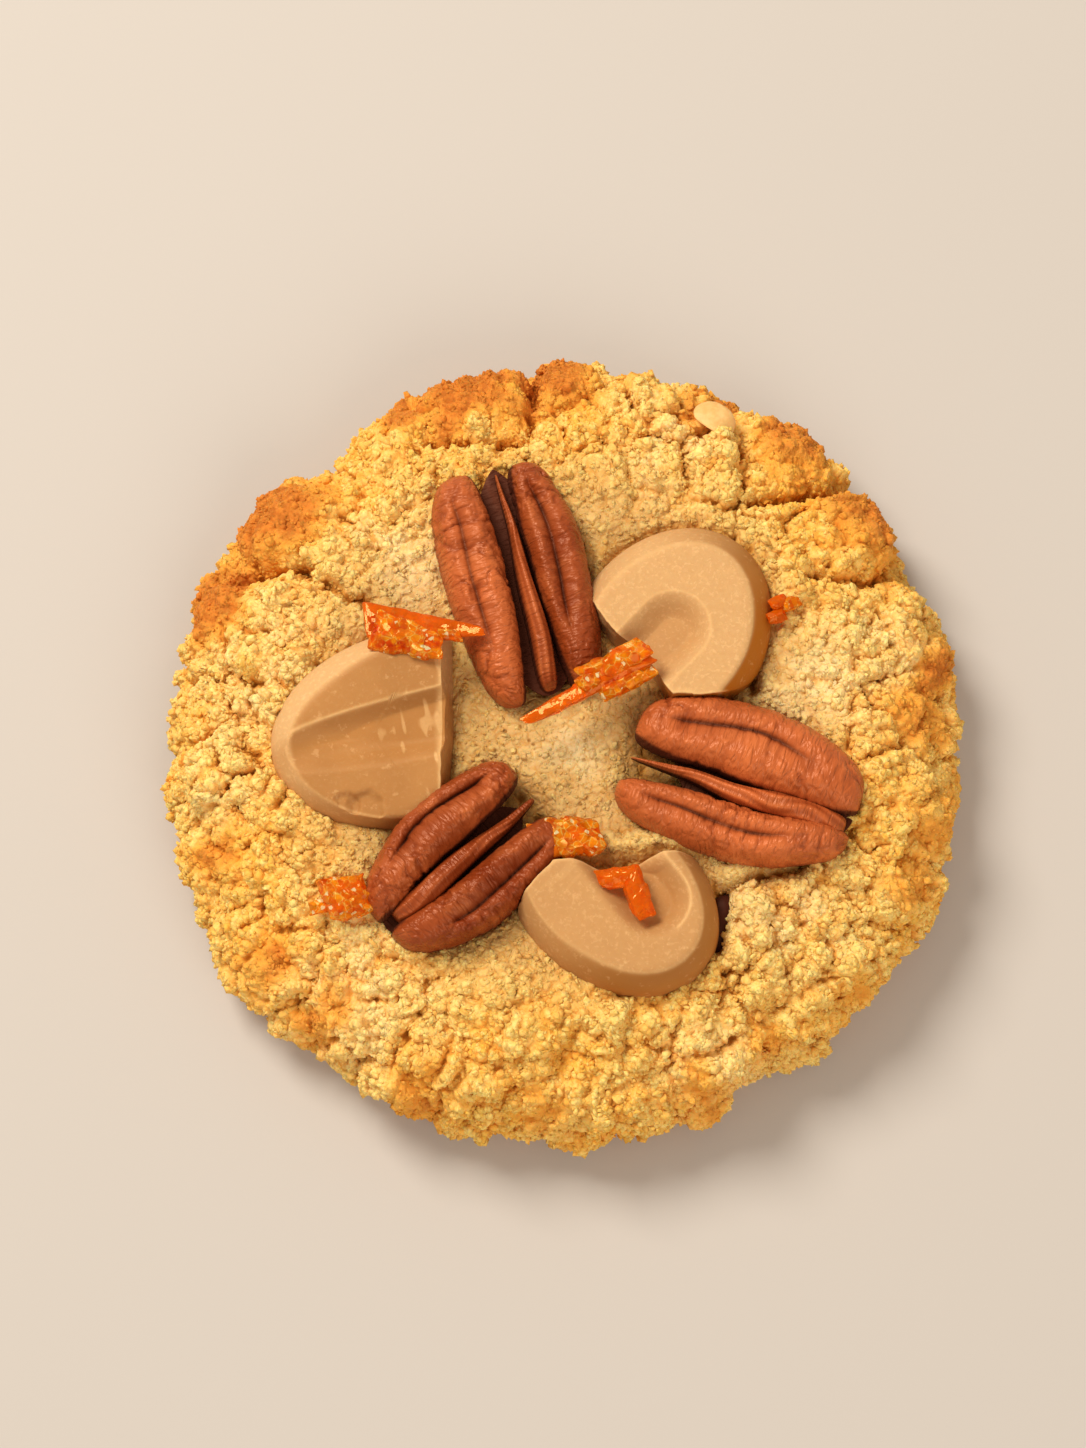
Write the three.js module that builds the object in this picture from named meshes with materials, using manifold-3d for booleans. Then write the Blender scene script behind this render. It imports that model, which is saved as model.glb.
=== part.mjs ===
// A thick round cookie. Craggy golden dough carries three pecan halves, three broken
// caramel chocolate buttons, splinters of clear amber brittle, a nut flake and a dark chunk.
// Millimetres, +Z up, origin in the middle of the flat base, +Y away from the viewer.

import * as THREE from 'three';
import { mergeGeometries, mergeVertices } from 'three/addons/utils/BufferGeometryUtils.js';
import { ConvexGeometry } from 'three/addons/geometries/ConvexGeometry.js';
import Module from 'manifold-3d';

// Driving dimensions
const cookieWidth = 90;
const cookieDepth = 91.5;
const doughRadius = 45;
const doughHeight = 15.5;
const clearance = 0.3;

// Section of the dough from the middle of its top to the edge of its base,
// as shares of the dough's radius and height
const doughSection = [
  [0, 0.98], [0.27, 0.99], [0.53, 1.01], [0.73, 1.0], [0.88, 0.84],
  [0.97, 0.57], [1.0, 0.32], [0.98, 0.1], [0.955, 0],
];
const doughGrid = { steps: 52, rimCrowding: 0.8, settleHeight: 3 };

// Bites in the outline: degrees round the cookie, half width in degrees, depth
const notches = [
  [129, 9, 2.4],
  [28, 8, 1.0],
  [300, 7, 1.2],
  [200, 12, 0.7],
];

// The largest crags of the rim: degrees round the cookie, distance along the section
// from the middle of the top, half width and rise
const crags = [
  [91, 43.5, 3.8, 2.0], [100, 42, 4.4, 1.9], [108, 43, 4.6, 1.9], [119, 42, 4.0, 1.4],
  [143, 42.5, 5.6, 2.4], [139, 39.5, 3.4, 1.6], [159, 45, 4.2, 1.3], [189, 39.5, 4.6, 1.3],
  [216, 44, 4.0, 1.2], [233, 44, 4.2, 1.3], [247, 44, 4.8, 1.7], [267, 43, 4.2, 1.2],
  [292, 44, 4.4, 1.5], [321, 43.5, 4.4, 1.3], [334, 43, 4.6, 1.4], [347, 42.5, 5.2, 1.7],
  [22, 42.5, 3.6, 1.1], [36, 42.2, 6.0, 2.5], [53, 44, 5.8, 2.4], [62, 42.2, 3.4, 1.3],
  [79, 44, 3.4, 1.2],
];

// Rows of smaller clumps between the crags: distance along the section and number in the row
const clumpRows = [
  [36, 26], [40.5, 30], [45, 33], [49, 35], [52.5, 35],
];
const clumpSize = { halfWidth: 3.6, rise: 1.2, leastRise: 0.6, spread: 0.4 };
const clumpDraws = { turn: 0, size: 10, rise: 20 };
const domeBluntness = 0.75;

// Cracks in the top: one end, the other end, half width and depth
const cracks = [
  [[-15.4, 34.3], [-4.8, 34.3], 2.0, 1.9],
  [[-4.0, 43.5], [-4.0, 35.3], 1.9, 1.7],
  [[-38.5, 18.8], [-29.5, 18.6], 2.2, 2.2],
  [[-27.8, 16.6], [-22.7, 14.2], 1.9, 1.2],
  [[21.3, 26.7], [33.0, 29.2], 2.2, 2.1],
  [[28.1, 17.8], [36.5, 17.3], 2.0, 1.6],
  [[17.5, -18.6], [26.5, -15.9], 2.1, 1.7],
  [[18.4, -28.6], [17.3, -32.3], 1.9, 1.2],
  [[20.0, 35.5], [20.4, 28.5], 1.9, 1.3],
  [[17.6, -18.8], [17.2, -25.2], 2.2, 3.4],
];

// Long low swells of the top: distance from crest to crest each way, and height
const swell = { lengthX: 31, lengthY: 27, height: 0.35 };

// Pecan halves: middle, degrees that the far tip points to, length, width, sideways lean
const pecans = {
  pecan_top: { at: [-5.3, 16.5, 16], turn: 100, length: 27.6, width: 16.2, lean: 3 },
  pecan_right: { at: [20.1, -6.3, 16], turn: 161, length: 27, width: 17.8, lean: -4 },
  pecan_left: { at: [-11.2, -14.6, 16.2], turn: 42, length: 22.8, width: 16.2, lean: 4 },
};
const pecanForm = {
  crown: 5.4, belly: 3.2, channel: 0.7, tipSpread: 0.6, squareness: 0.8, plumpness: 0.8,
  grooveDepth: 0.8, grooveWidth: 0.45, grooveFrom: 0.3, grooveFull: 0.9,
  ridgeWidth: 0.7, ridgeHeight: 0.75,
  coreLength: 0.9, coreWidth: 0.8, coreTop: 0.35,
};

// Chocolate buttons: oval middle, degrees that the round end points to, where the scooped
// channel ends, tilt, and the breaks as degrees of the way out and distance from the middle
const chocolates = {
  chocolate_left: {
    at: [-16.4, 0, 15.4], turn: 192, scoopEnd: 13.6, tilt: [2, 3],
    breaks: [[168, 3.1], [128, 9.2]], core: [5, 0],
  },
  chocolate_right: {
    at: [9.0, 9.0, 15.2], turn: 40, scoopEnd: 7.6, tilt: [-2, 3],
    breaks: [[178, 0.9], [230, 5.0]], core: [5.2, 0.6],
  },
  chocolate_bottom: {
    at: [3.4, -16.5, 15.0], turn: -33.5, scoopEnd: 9.4, tilt: [4, 2],
    breaks: [[179, 4.4], [136, 0.4]], core: [3.4, -4],
  },
};
const buttonForm = { halfLength: 15.5, halfWidth: 10.5, height: 7 };
const buttonScoop = { halfWidth: 4, depth: 2.3, length: 26 };

// Section of a button from the middle of its top to the middle of its base,
// as shares of the way out and of the height
const buttonSection = [
  [0, 1], [0.55, 1], [0.8, 0.98], [0.9, 0.84], [0.97, 0.5], [1, 0.2], [0.96, 0], [0, 0],
];
const brokenWall = { steepness: 0.85, from: 0.6, full: 0.85 };

// Splinters of brittle: place and turn of each, and the hulls that it is joined from
const splinters = {
  brittle_wedge: {
    at: [-15.4, 12.1, 20.9], turn: -6, tilt: [0, -7],
    hulls: [{ length: 14.4, width: 6.0, height: 3.4, taper: 0.75, seed: 3 }],
  },
  brittle_long: {
    at: [2.6, 4.4, 20.4], turn: 29,
    hulls: [
      { length: 17.2, width: 3.4, height: 2.6, taper: -0.6, seed: 5 },
      { length: 8.8, width: 5.0, height: 3.4, taper: 0.1, seed: 8, shift: [4.2, 0.1, 0.2] },
    ],
  },
  brittle_crumb: {
    at: [24.5, 13.8, 17.0], turn: 20,
    hulls: [{ length: 3.8, width: 3.4, height: 2.8, taper: 0.1, seed: 11 }],
  },
  brittle_crystal: {
    at: [1.8, -12.3, 17.8], turn: 4,
    hulls: [{ length: 6.4, width: 5.8, height: 4.6, taper: 0.15, seed: 14 }],
  },
  brittle_bent: {
    at: [7.6, -18.2, 18.3], turn: 0,
    hulls: [
      { length: 5.4, width: 3.2, height: 2.6, taper: 0.1, seed: 19, shift: [-0.9, 1.0, 0.1], turn: 8 },
      { length: 6.4, width: 3.2, height: 2.6, taper: 0.1, seed: 22, shift: [1.0, -1.0, 0], turn: -76 },
    ],
  },
  brittle_corner: {
    at: [-23.7, -19.3, 17.5], turn: 12,
    hulls: [
      { length: 5.6, width: 6.0, height: 4.6, taper: 0.1, seed: 25 },
      { length: 3.4, width: 1.9, height: 1.7, taper: 0.2, seed: 28, shift: [-2.8, -0.4, -0.6] },
    ],
  },
};
const splinterForm = { corners: 15, leastReach: 0.72 };

// A thin curved flake on the far rim, and a chunk sunk in the gap beside the front button
const flake = {
  at: [17.1, 36.9, 15.0], turn: -35, tilt: [-24, 0],
  length: 5.2, width: 4.0, thickness: 1.1, bow: 0.12,
};
const chunk = {
  at: [17.5, -21.8, 12.0], turn: 95,
  length: 8.0, width: 4.6, height: 4.0, reach: 0.44, longRipple: 0.06, shortRipple: 0.05,
};

// Facets of the rounded forms, in the order in which their geometry takes them
const facets = {
  lobe: [14, 10], ridge: [6, 8], core: [12, 6], button: 40, scoop: [4, 14], flake: [12, 8],
};

const wasm = await Module();
wasm.setup();

const { clamp, degToRad: radians, euclideanModulo, lerp, radToDeg, smoothstep } = THREE.MathUtils;
const mergeTolerance = 1e-4;

// A repeatable scatter from 0 to 1 for a whole number and a channel
function scatter(index, channel) {
  const wave = Math.sin(index * 12.9898 + channel * 78.233) * 43758.5453;
  return wave - Math.floor(wave);
}

// The solid less the sockets of its neighbours, with loose scraps of the cut dropped
function carved(solid, cutters) {
  const left = cutters.reduce((whole, cutter) => whole.subtract(cutter), solid);
  return left.decompose().reduce((largest, body) => (body.volume() > largest.volume() ? body : largest));
}

// Geometry with only its shared corners left
function bare(geometry) {
  const plain = geometry.clone();
  plain.deleteAttribute('normal');
  plain.deleteAttribute('uv');
  return mergeVertices(plain, mergeTolerance);
}

function toSolid(geometry) {
  const shared = bare(geometry);
  const vertProperties = shared.attributes.position.array;
  const triVerts = new Uint32Array(shared.index.array);
  return new wasm.Manifold(new wasm.Mesh({ numProp: 3, vertProperties, triVerts }));
}

function toGeometry(solid) {
  const { vertProperties, triVerts } = solid.getMesh();
  const geometry = new THREE.BufferGeometry();
  geometry.setAttribute('position', new THREE.BufferAttribute(vertProperties, 3));
  geometry.setIndex(new THREE.BufferAttribute(triVerts, 1));
  return geometry;
}

// Moves every corner of a geometry to the place that a rule gives for it
function reshape(geometry, rule) {
  const corners = geometry.attributes.position;
  const corner = new THREE.Vector3();
  for (let i = 0; i < corners.count; i++) {
    corner.fromBufferAttribute(corners, i);
    corners.setXYZ(i, ...rule(corner));
  }
  return geometry;
}

// The same form, larger by a margin on every side of its box
function grown(geometry, margin) {
  const bigger = geometry.clone();
  bigger.computeBoundingBox();
  const middle = bigger.boundingBox.getCenter(new THREE.Vector3());
  const half = bigger.boundingBox.getSize(new THREE.Vector3()).multiplyScalar(0.5);
  bigger.translate(-middle.x, -middle.y, -middle.z);
  bigger.scale(1 + margin / half.x, 1 + margin / half.y, 1 + margin / half.z);
  return bigger.translate(middle.x, middle.y, middle.z);
}

// The tightest convex husk round a geometry
function husk(geometry) {
  const corners = geometry.attributes.position;
  const points = [];
  for (let i = 0; i < corners.count; i++) {
    points.push(new THREE.Vector3().fromBufferAttribute(corners, i));
  }
  return new ConvexGeometry(points);
}

// A square ring of a sheet becomes a round ring: its share of the way out and its angle
function ringPlace(u, v) {
  const share = Math.max(Math.abs(u), Math.abs(v));
  if (share === 0) return { share, angle: 0 };
  const eighth = Math.PI / 4;
  if (Math.abs(u) >= Math.abs(v)) return { share, angle: (v / u) * eighth + (u < 0 ? Math.PI : 0) };
  return { share, angle: Math.PI / 2 - (u / v) * eighth + (v < 0 ? Math.PI : 0) };
}

// A square sheet whose cells have their diagonals towards its corners, so that all four fold alike
function squareSheet(steps) {
  const sheet = new THREE.PlaneGeometry(2, 2, steps, steps);
  const row = steps + 1;
  for (let cell = 0; cell < steps * steps; cell++) {
    const [i, j] = [cell % steps, Math.floor(cell / steps)];
    if ((i < steps / 2) !== (j < steps / 2)) continue;
    const first = j * row + i;
    const corners = [first, first + row, first + row + 1, first, first + row + 1, first + 1];
    corners.forEach((corner, k) => sheet.index.setX(cell * 6 + k, corner));
  }
  return sheet;
}

// Share by which the outline is drawn in at an angle
function outlineShare(angle) {
  const bite = notches.reduce((sum, [middle, halfWidth, depth]) => {
    const turn = euclideanModulo(radToDeg(angle) - middle + 180, 360) - 180;
    return sum + depth * Math.exp(-((turn / halfWidth) ** 2));
  }, 0);
  return 1 - bite / doughRadius;
}

// The dough: one sheet bent over the section and raised into crags, closed by a flat base
function doughGeometry() {
  const { steps, rimCrowding, settleHeight } = doughGrid;
  const section = new THREE.SplineCurve(
    doughSection.map(([out, up]) => new THREE.Vector2(out * doughRadius, up * doughHeight)),
  );
  const sectionLength = section.getLength();

  const plainSpot = (along, angle) => {
    const { x, y } = section.getPointAt(along);
    const out = x * outlineShare(angle);
    return new THREE.Vector3(out * Math.cos(angle), out * Math.sin(angle), y);
  };

  const lumps = crags.map(([angle, along, halfWidth, rise]) => (
    { spot: plainSpot(along / sectionLength, radians(angle)), halfWidth, rise }
  ));
  clumpRows.forEach(([along, number], row) => {
    for (let i = 0; i < number; i++) {
      const { halfWidth, rise, leastRise, spread } = clumpSize;
      const angle = (i + spread * scatter(i, row + clumpDraws.turn)) / number * 2 * Math.PI;
      const size = 1 + spread * (scatter(i, row + clumpDraws.size) - 0.5);
      const spot = plainSpot(along / sectionLength, angle);
      const height = rise * (leastRise + scatter(i, row + clumpDraws.rise));
      lumps.push({ spot, halfWidth: halfWidth * size, rise: height });
    }
  });

  const lines = cracks.map(([from, to, halfWidth, depth]) => {
    const ends = [from, to].map(([x, y]) => new THREE.Vector3(x, y, 0));
    return { line: new THREE.Line3(...ends), halfWidth, depth };
  });

  // Domes meet in creases, because only the highest one counts; cracks go down from there
  const relief = (spot) => {
    const dome = lumps.reduce((high, lump) => {
      const near = spot.distanceTo(lump.spot) / lump.halfWidth;
      return near < 1 ? Math.max(high, lump.rise * (1 - near * near) ** domeBluntness) : high;
    }, 0);
    const flat = new THREE.Vector3(spot.x, spot.y, 0);
    const [waveX, waveY] = [spot.x / swell.lengthX, spot.y / swell.lengthY];
    const wave = Math.sin(2 * Math.PI * waveX) * Math.sin(2 * Math.PI * waveY);
    return lines.reduce((height, { line, halfWidth, depth }) => {
      const near = line.closestPointToPoint(flat, true, new THREE.Vector3()).distanceTo(flat) / halfWidth;
      return near < 1 ? height - depth * (1 - near * near) : height;
    }, dome + swell.height * wave);
  };

  const sheet = reshape(squareSheet(steps), ({ x, y }) => {
    const { share, angle } = ringPlace(x, y);
    const along = share ** rimCrowding;
    const spot = plainSpot(along, angle);
    const run = section.getTangentAt(along);
    const lift = relief(spot) * smoothstep(spot.z, 0, settleHeight);
    const outward = new THREE.Vector3(-run.y * Math.cos(angle), -run.y * Math.sin(angle), run.x);
    return spot.addScaledVector(outward, lift).toArray();
  });

  sheet.computeBoundingBox();
  const middle = sheet.boundingBox.getCenter(new THREE.Vector3());
  const size = sheet.boundingBox.getSize(new THREE.Vector3());
  sheet.translate(-middle.x, -middle.y, 0);
  sheet.scale(cookieWidth / size.x, cookieDepth / size.y, 1);
  return mergeGeometries([bare(sheet), bare(baseUnder(sheet, steps))]);
}

// A flat base inside the sheet's edge, facing down
function baseUnder(sheet, steps) {
  const corners = sheet.attributes.position;
  const edge = [];
  const walk = (i, j) => {
    const corner = j * (steps + 1) + i;
    edge.push(new THREE.Vector2(corners.getX(corner), -corners.getY(corner)));
  };
  for (let i = 0; i < steps; i++) walk(i, 0);
  for (let i = 0; i < steps; i++) walk(steps, i);
  for (let i = 0; i < steps; i++) walk(steps - i, steps);
  for (let i = 0; i < steps; i++) walk(0, steps - i);
  return new THREE.ShapeGeometry(new THREE.Shape(edge)).rotateX(Math.PI);
}

// A ball whose poles lie along X, with a rule from its place along and angle round to a corner
function alongBall(segments, rule) {
  const ball = new THREE.SphereGeometry(1, ...segments).rotateZ(-Math.PI / 2);
  return reshape(ball, ({ x, y, z }) => rule(x, Math.hypot(y, z), Math.atan2(z, y)));
}

// One plump lobe of a pecan half: its middle line bows out, and a groove runs along its crest
function pecanLobe(length, width, side) {
  const { crown, belly, channel, tipSpread, squareness, plumpness } = pecanForm;
  const { grooveDepth, grooveWidth, grooveFrom, grooveFull } = pecanForm;
  const halfWide = (width / 2 - channel) / 2;
  return alongBall(facets.lobe, (along, girth, angle) => {
    const plump = girth ** plumpness;
    const middle = side * (channel + halfWide * (tipSpread + (1 - tipSpread) * plump));
    const crest = Math.exp(-(((angle - Math.PI / 2) / grooveWidth) ** 2));
    const deep = grooveDepth * crest * smoothstep(plump, grooveFrom, grooveFull);
    const [across, up] = [Math.cos(angle), Math.sin(angle)].map((share) => (
      Math.sign(share) * Math.abs(share) ** squareness
    ));
    const rise = up * (angle > 0 ? crown : belly) * plump - deep;
    return [along * length / 2, middle + halfWide * plump * across, rise];
  });
}

// A pecan half: two lobes, the thin ridge in the channel between them and the core below
function pecanGeometry(length, width) {
  const { crown, belly, ridgeWidth, ridgeHeight, coreLength, coreWidth, coreTop } = pecanForm;
  const ridge = new THREE.SphereGeometry(1, ...facets.ridge);
  ridge.scale(length * coreLength / 2, ridgeWidth, crown * ridgeHeight);
  const core = alongBall(facets.core, (along, girth, angle) => [
    along * length * coreLength / 2,
    girth * Math.cos(angle) * width * coreWidth / 2,
    girth * Math.sin(angle) * (angle > 0 ? crown * coreTop : belly),
  ]);
  return toGeometry([pecanLobe(length, width, 1), pecanLobe(length, width, -1), ridge]
    .map(toSolid)
    .reduce((whole, piece) => whole.add(piece), toSolid(core)));
}

// A broken button: an oval cut off by its breaks, with sloping sides, steep where it broke,
// and a scooped channel that runs out through the break
function chocolateGeometry({ scoopEnd, breaks, core }) {
  const { halfLength, halfWidth, height } = buttonForm;
  const [coreX, coreY] = core;

  // Distance from the core to the oval and to the nearest break, along a direction
  const edges = (angle) => {
    const [dx, dy] = [Math.cos(angle), Math.sin(angle)];
    const a = (dx / halfLength) ** 2 + (dy / halfWidth) ** 2;
    const b = coreX * dx / halfLength ** 2 + coreY * dy / halfWidth ** 2;
    const c = (coreX / halfLength) ** 2 + (coreY / halfWidth) ** 2 - 1;
    const oval = (Math.sqrt(b * b - a * c) - b) / a;
    const broken = breaks.map(([way, distance]) => {
      const [nx, ny] = [Math.cos(radians(way)), Math.sin(radians(way))];
      const facing = dx * nx + dy * ny;
      return facing > 0 ? (distance - coreX * nx - coreY * ny) / facing : Infinity;
    });
    return { oval, broken: Math.min(...broken) };
  };

  const rows = buttonSection.length - 1;
  const ball = new THREE.SphereGeometry(1, facets.button, rows).rotateX(Math.PI / 2);
  const button = reshape(ball, ({ x, y, z }) => {
    const angle = Math.atan2(y, x);
    const row = Math.round(Math.acos(clamp(z, -1, 1)) / Math.PI * rows);
    const [sectionOut, up] = buttonSection[row];
    const { oval, broken } = edges(angle);
    const { steepness, from, full } = brokenWall;
    const steep = broken < oval ? steepness * smoothstep(sectionOut, from, full) : 0;
    const out = Math.min(oval, broken) * lerp(sectionOut, 1, steep);
    return [coreX + out * Math.cos(angle), coreY + out * Math.sin(angle), (up - 0.5) * height];
  });

  const { halfWidth: scoopWidth, depth, length } = buttonScoop;
  const scoop = new THREE.CapsuleGeometry(scoopWidth, length, ...facets.scoop).rotateZ(Math.PI / 2);
  scoop.scale(1, 1, depth / scoopWidth);
  scoop.translate(scoopEnd - scoopWidth - length / 2, 0, height / 2);
  return toGeometry(toSolid(button).subtract(toSolid(scoop)));
}

// A faceted splinter: the hull of corners on a spiral along it, thinner towards one end
function splinterHull({ length, width, height, taper, seed, shift = [0, 0, 0], turn = 0 }) {
  const goldenAngle = Math.PI * (3 - Math.sqrt(5));
  const corners = [];
  for (let i = 0; i < splinterForm.corners; i++) {
    const along = i / (splinterForm.corners - 1) * 2 - 1;
    const thin = 1 - Math.abs(taper) * (1 + Math.sign(taper) * along) / 2;
    const angle = i * goldenAngle + scatter(i, seed);
    const reach = thin * lerp(splinterForm.leastReach, 1, scatter(i, seed + 1)) / 2;
    const corner = new THREE.Vector3(along / 2 * length, Math.cos(angle), Math.sin(angle));
    corners.push(corner.multiply(new THREE.Vector3(1, width * reach, height * reach)));
  }
  return new ConvexGeometry(corners).rotateZ(radians(turn)).translate(...shift);
}

function splinterGeometry({ hulls }) {
  return toGeometry(hulls.map(splinterHull).map(toSolid).reduce((whole, piece) => whole.add(piece)));
}

// A thin oval flake, bowed along its length
function flakeGeometry({ length, width, thickness, bow }) {
  return reshape(new THREE.SphereGeometry(1, ...facets.flake), ({ x, y, z }) => (
    [x * length / 2, y * width / 2, z * thickness / 2 - bow * length * x * x]
  ));
}

// An uneven lump with broad facets
function chunkGeometry({ length, width, height, reach, longRipple, shortRipple }) {
  const lump = bare(new THREE.IcosahedronGeometry(1, 1));
  return reshape(lump, ({ x, y, z }) => {
    const uneven = reach + longRipple * Math.sin(3 * x + 2 * y) + shortRipple * Math.sin(4 * z - x);
    return [x * length * uneven, y * width * uneven, z * height * uneven];
  });
}

const finishes = {
  dough: new THREE.MeshStandardMaterial({ color: 0xdba95a, roughness: 0.9, metalness: 0 }),
  pecan: new THREE.MeshStandardMaterial({ color: 0xa5512a, roughness: 0.55, metalness: 0 }),
  chocolate: new THREE.MeshStandardMaterial({ color: 0xd29a5f, roughness: 0.45, metalness: 0 }),
  brittle: new THREE.MeshStandardMaterial({ color: 0xe07a10, roughness: 0.1, metalness: 0 }),
  flake: new THREE.MeshStandardMaterial({ color: 0xf6d592, roughness: 0.8, metalness: 0 }),
  chunk: new THREE.MeshStandardMaterial({ color: 0x3a1210, roughness: 0.5, metalness: 0 }),
};

const cookie = new THREE.Group();
const sockets = [];

// Adds a piece in its place. It is cut back from earlier pieces, and later ones are cut back
// from its socket, a slightly larger form that keeps them clear of it.
function addPiece(name, geometry, socketForm, finish, { at, turn, tilt = [0, 0] }) {
  const frame = new THREE.Object3D();
  frame.position.set(...at);
  frame.rotation.set(radians(tilt[0]), radians(tilt[1]), radians(turn), 'ZYX');
  frame.updateMatrixWorld();
  const placed = toSolid(geometry.clone().applyMatrix4(frame.matrixWorld));
  const mesh = new THREE.Mesh(toGeometry(carved(placed, sockets)), finish);
  sockets.push(toSolid(grown(socketForm, clearance).applyMatrix4(frame.matrixWorld)));
  mesh.name = name;
  cookie.add(mesh);
}

for (const [name, pecan] of Object.entries(pecans)) {
  const geometry = pecanGeometry(pecan.length, pecan.width);
  addPiece(name, geometry, husk(geometry), finishes.pecan, { ...pecan, tilt: [pecan.lean, 0] });
}
for (const [name, chocolate] of Object.entries(chocolates)) {
  const geometry = chocolateGeometry(chocolate);
  addPiece(name, geometry, geometry, finishes.chocolate, chocolate);
}
for (const [name, splinter] of Object.entries(splinters)) {
  const geometry = splinterGeometry(splinter);
  addPiece(name, geometry, husk(geometry), finishes.brittle, splinter);
}
const flakeForm = flakeGeometry(flake);
addPiece('nut_flake', flakeForm, flakeForm, finishes.flake, flake);
const chunkForm = chunkGeometry(chunk);
addPiece('dark_chunk', chunkForm, chunkForm, finishes.chunk, chunk);

const doughMesh = new THREE.Mesh(toGeometry(carved(toSolid(doughGeometry()), sockets)), finishes.dough);
doughMesh.name = 'dough';
cookie.add(doughMesh);

export default cookie;
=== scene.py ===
import itertools
import math
import bpy
import numpy as np
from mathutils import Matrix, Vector


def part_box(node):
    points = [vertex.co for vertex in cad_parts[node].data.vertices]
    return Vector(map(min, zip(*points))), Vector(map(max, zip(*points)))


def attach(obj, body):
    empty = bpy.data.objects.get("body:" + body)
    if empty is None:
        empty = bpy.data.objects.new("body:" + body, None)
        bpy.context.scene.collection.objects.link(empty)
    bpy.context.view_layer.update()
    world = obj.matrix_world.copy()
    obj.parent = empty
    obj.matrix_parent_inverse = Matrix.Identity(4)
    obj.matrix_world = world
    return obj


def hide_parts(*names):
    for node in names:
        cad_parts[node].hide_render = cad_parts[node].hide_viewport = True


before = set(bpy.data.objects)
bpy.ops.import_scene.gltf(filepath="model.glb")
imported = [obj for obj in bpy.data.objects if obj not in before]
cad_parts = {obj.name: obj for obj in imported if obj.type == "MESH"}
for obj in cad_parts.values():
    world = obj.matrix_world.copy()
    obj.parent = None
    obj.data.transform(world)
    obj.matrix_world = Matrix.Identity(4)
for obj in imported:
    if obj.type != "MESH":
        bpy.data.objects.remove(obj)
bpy.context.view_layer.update()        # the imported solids: bodies, nodes and record
scene = bpy.context.scene
mm = 0.001               # sizes below are in millimetres, Blender's are in metres
print('frame loaded:', len(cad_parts), 'solids')


# Whole arrays of points, and noise on them

def columns(*parts):
    # numbers and arrays side by side, as the columns of one array
    return np.stack(np.broadcast_arrays(*parts), axis=1)


def lengths(rows):
    # length of each row
    return np.linalg.norm(rows, axis=1)


def step(value, low, high):
    # smooth step from 0 at low to 1 at high
    part = np.clip((value - low) / (high - low), 0, 1)
    return part * part * (3 - 2 * part)


def lerp(low, high, share):
    # from low to high by the share
    return low + (high - low) * share


def bell(value):
    # one at nought, fading to both sides
    return np.exp(-value ** 2)


def signedPower(value, power):
    # a power that keeps the sign
    return np.sign(value) * abs(value) ** power


def scatter(index, channel):
    # a repeatable number from 0 to 1 for a whole number and a channel
    wave = np.sin(index * 12.9898 + channel * 78.233) * 43758.5453
    return wave - np.floor(wave)


def hashed(cells, seed):
    # one number from 0 to 1 for each whole-number cell, by mixing its three indices
    a, b, c = cells.astype(np.int64).astype(np.uint64).T
    mixed = a * np.uint64(73856093) ^ b * np.uint64(19349663) ^ c * np.uint64(83492791)
    mixed = mixed ^ np.uint64(seed * 2654435761)
    mixed = (mixed ^ (mixed >> np.uint64(15))) * np.uint64(2246822519)
    mixed = (mixed ^ (mixed >> np.uint64(13))) * np.uint64(3266489917)
    return ((mixed >> np.uint64(16)) & np.uint64(0xffffff)) / float(0xffffff)


def softNoise(points, size, seed):
    # random numbers at the corners of cubes, blended by a smooth step: from -1 to 1
    grid = points / size
    home = np.floor(grid)
    part = step(grid - home, 0, 1)
    total = np.zeros(len(points))
    for corner in itertools.product((0, 1), repeat=3):
        weight = np.prod(np.where(corner, part, 1 - part), axis=1)
        total += weight * hashed(home + corner, seed)
    return 2 * total - 1


def layeredNoise(points, size, seed, layers=3):
    # soft noise in layers, each half as large and half as strong as the one before
    total = sum(softNoise(points, size / 2 ** k, seed + 10 * k) / 2 ** k for k in range(layers))
    return total / (2 - 2 ** (1 - layers))


def cellNoise(points, size, seed, tilt):
    # one random spot in each cube: distances to the nearest and the next one, and the height of the nearest
    # one's facet: its own number and a slope its own way, blended with the next one's close to the border
    grid = points / size
    home = np.floor(grid)
    near = np.full(len(points), 9.0)
    second = near.copy()
    height = np.zeros(len(points))
    total = np.zeros(len(points))
    for shift in itertools.product((-1, 0, 1), repeat=3):
        cell = home + shift
        away = grid - cell - columns(*[hashed(cell, seed + k) for k in range(3)])
        gap = lengths(away)
        second = np.where(gap < near, near, np.minimum(second, gap))
        near = np.minimum(near, gap)
        weight = np.exp(-20 * gap)
        slope = sum((hashed(cell, seed + 4 + k) - 0.5) * away[:, k] for k in range(3))
        height += weight * (hashed(cell, seed + 3) + tilt * slope)
        total += weight
    return near * size, second * size, height / total


def warped(points, size, reach, seed):
    # points pushed about by three noises
    return points + reach * columns(*[layeredNoise(points, size, seed + 100 * k) for k in range(3)])


# Shapes on grids

def curveThrough(points):
    # smooth curve through the points, its slope at each being half the way between its neighbours, and the
    # distance along it
    spots = np.array(points, float)
    slope = (np.vstack([spots[1:], spots[-1:]]) - np.vstack([spots[:1], spots[:-1]])) / 2
    t = np.linspace(0, 1, 81)[:-1, None]
    spans = [(2 * t**3 - 3 * t**2 + 1) * a + (t**3 - 2 * t**2 + t) * m
             + (3 * t**2 - 2 * t**3) * b + (t**3 - t**2) * n
             for a, b, m, n in zip(spots[:-1], spots[1:], slope[:-1], slope[1:])]
    path = np.vstack(spans + [spots[-1:]])
    return path, np.concatenate([[0], np.cumsum(lengths(np.diff(path, axis=0)))])


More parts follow.
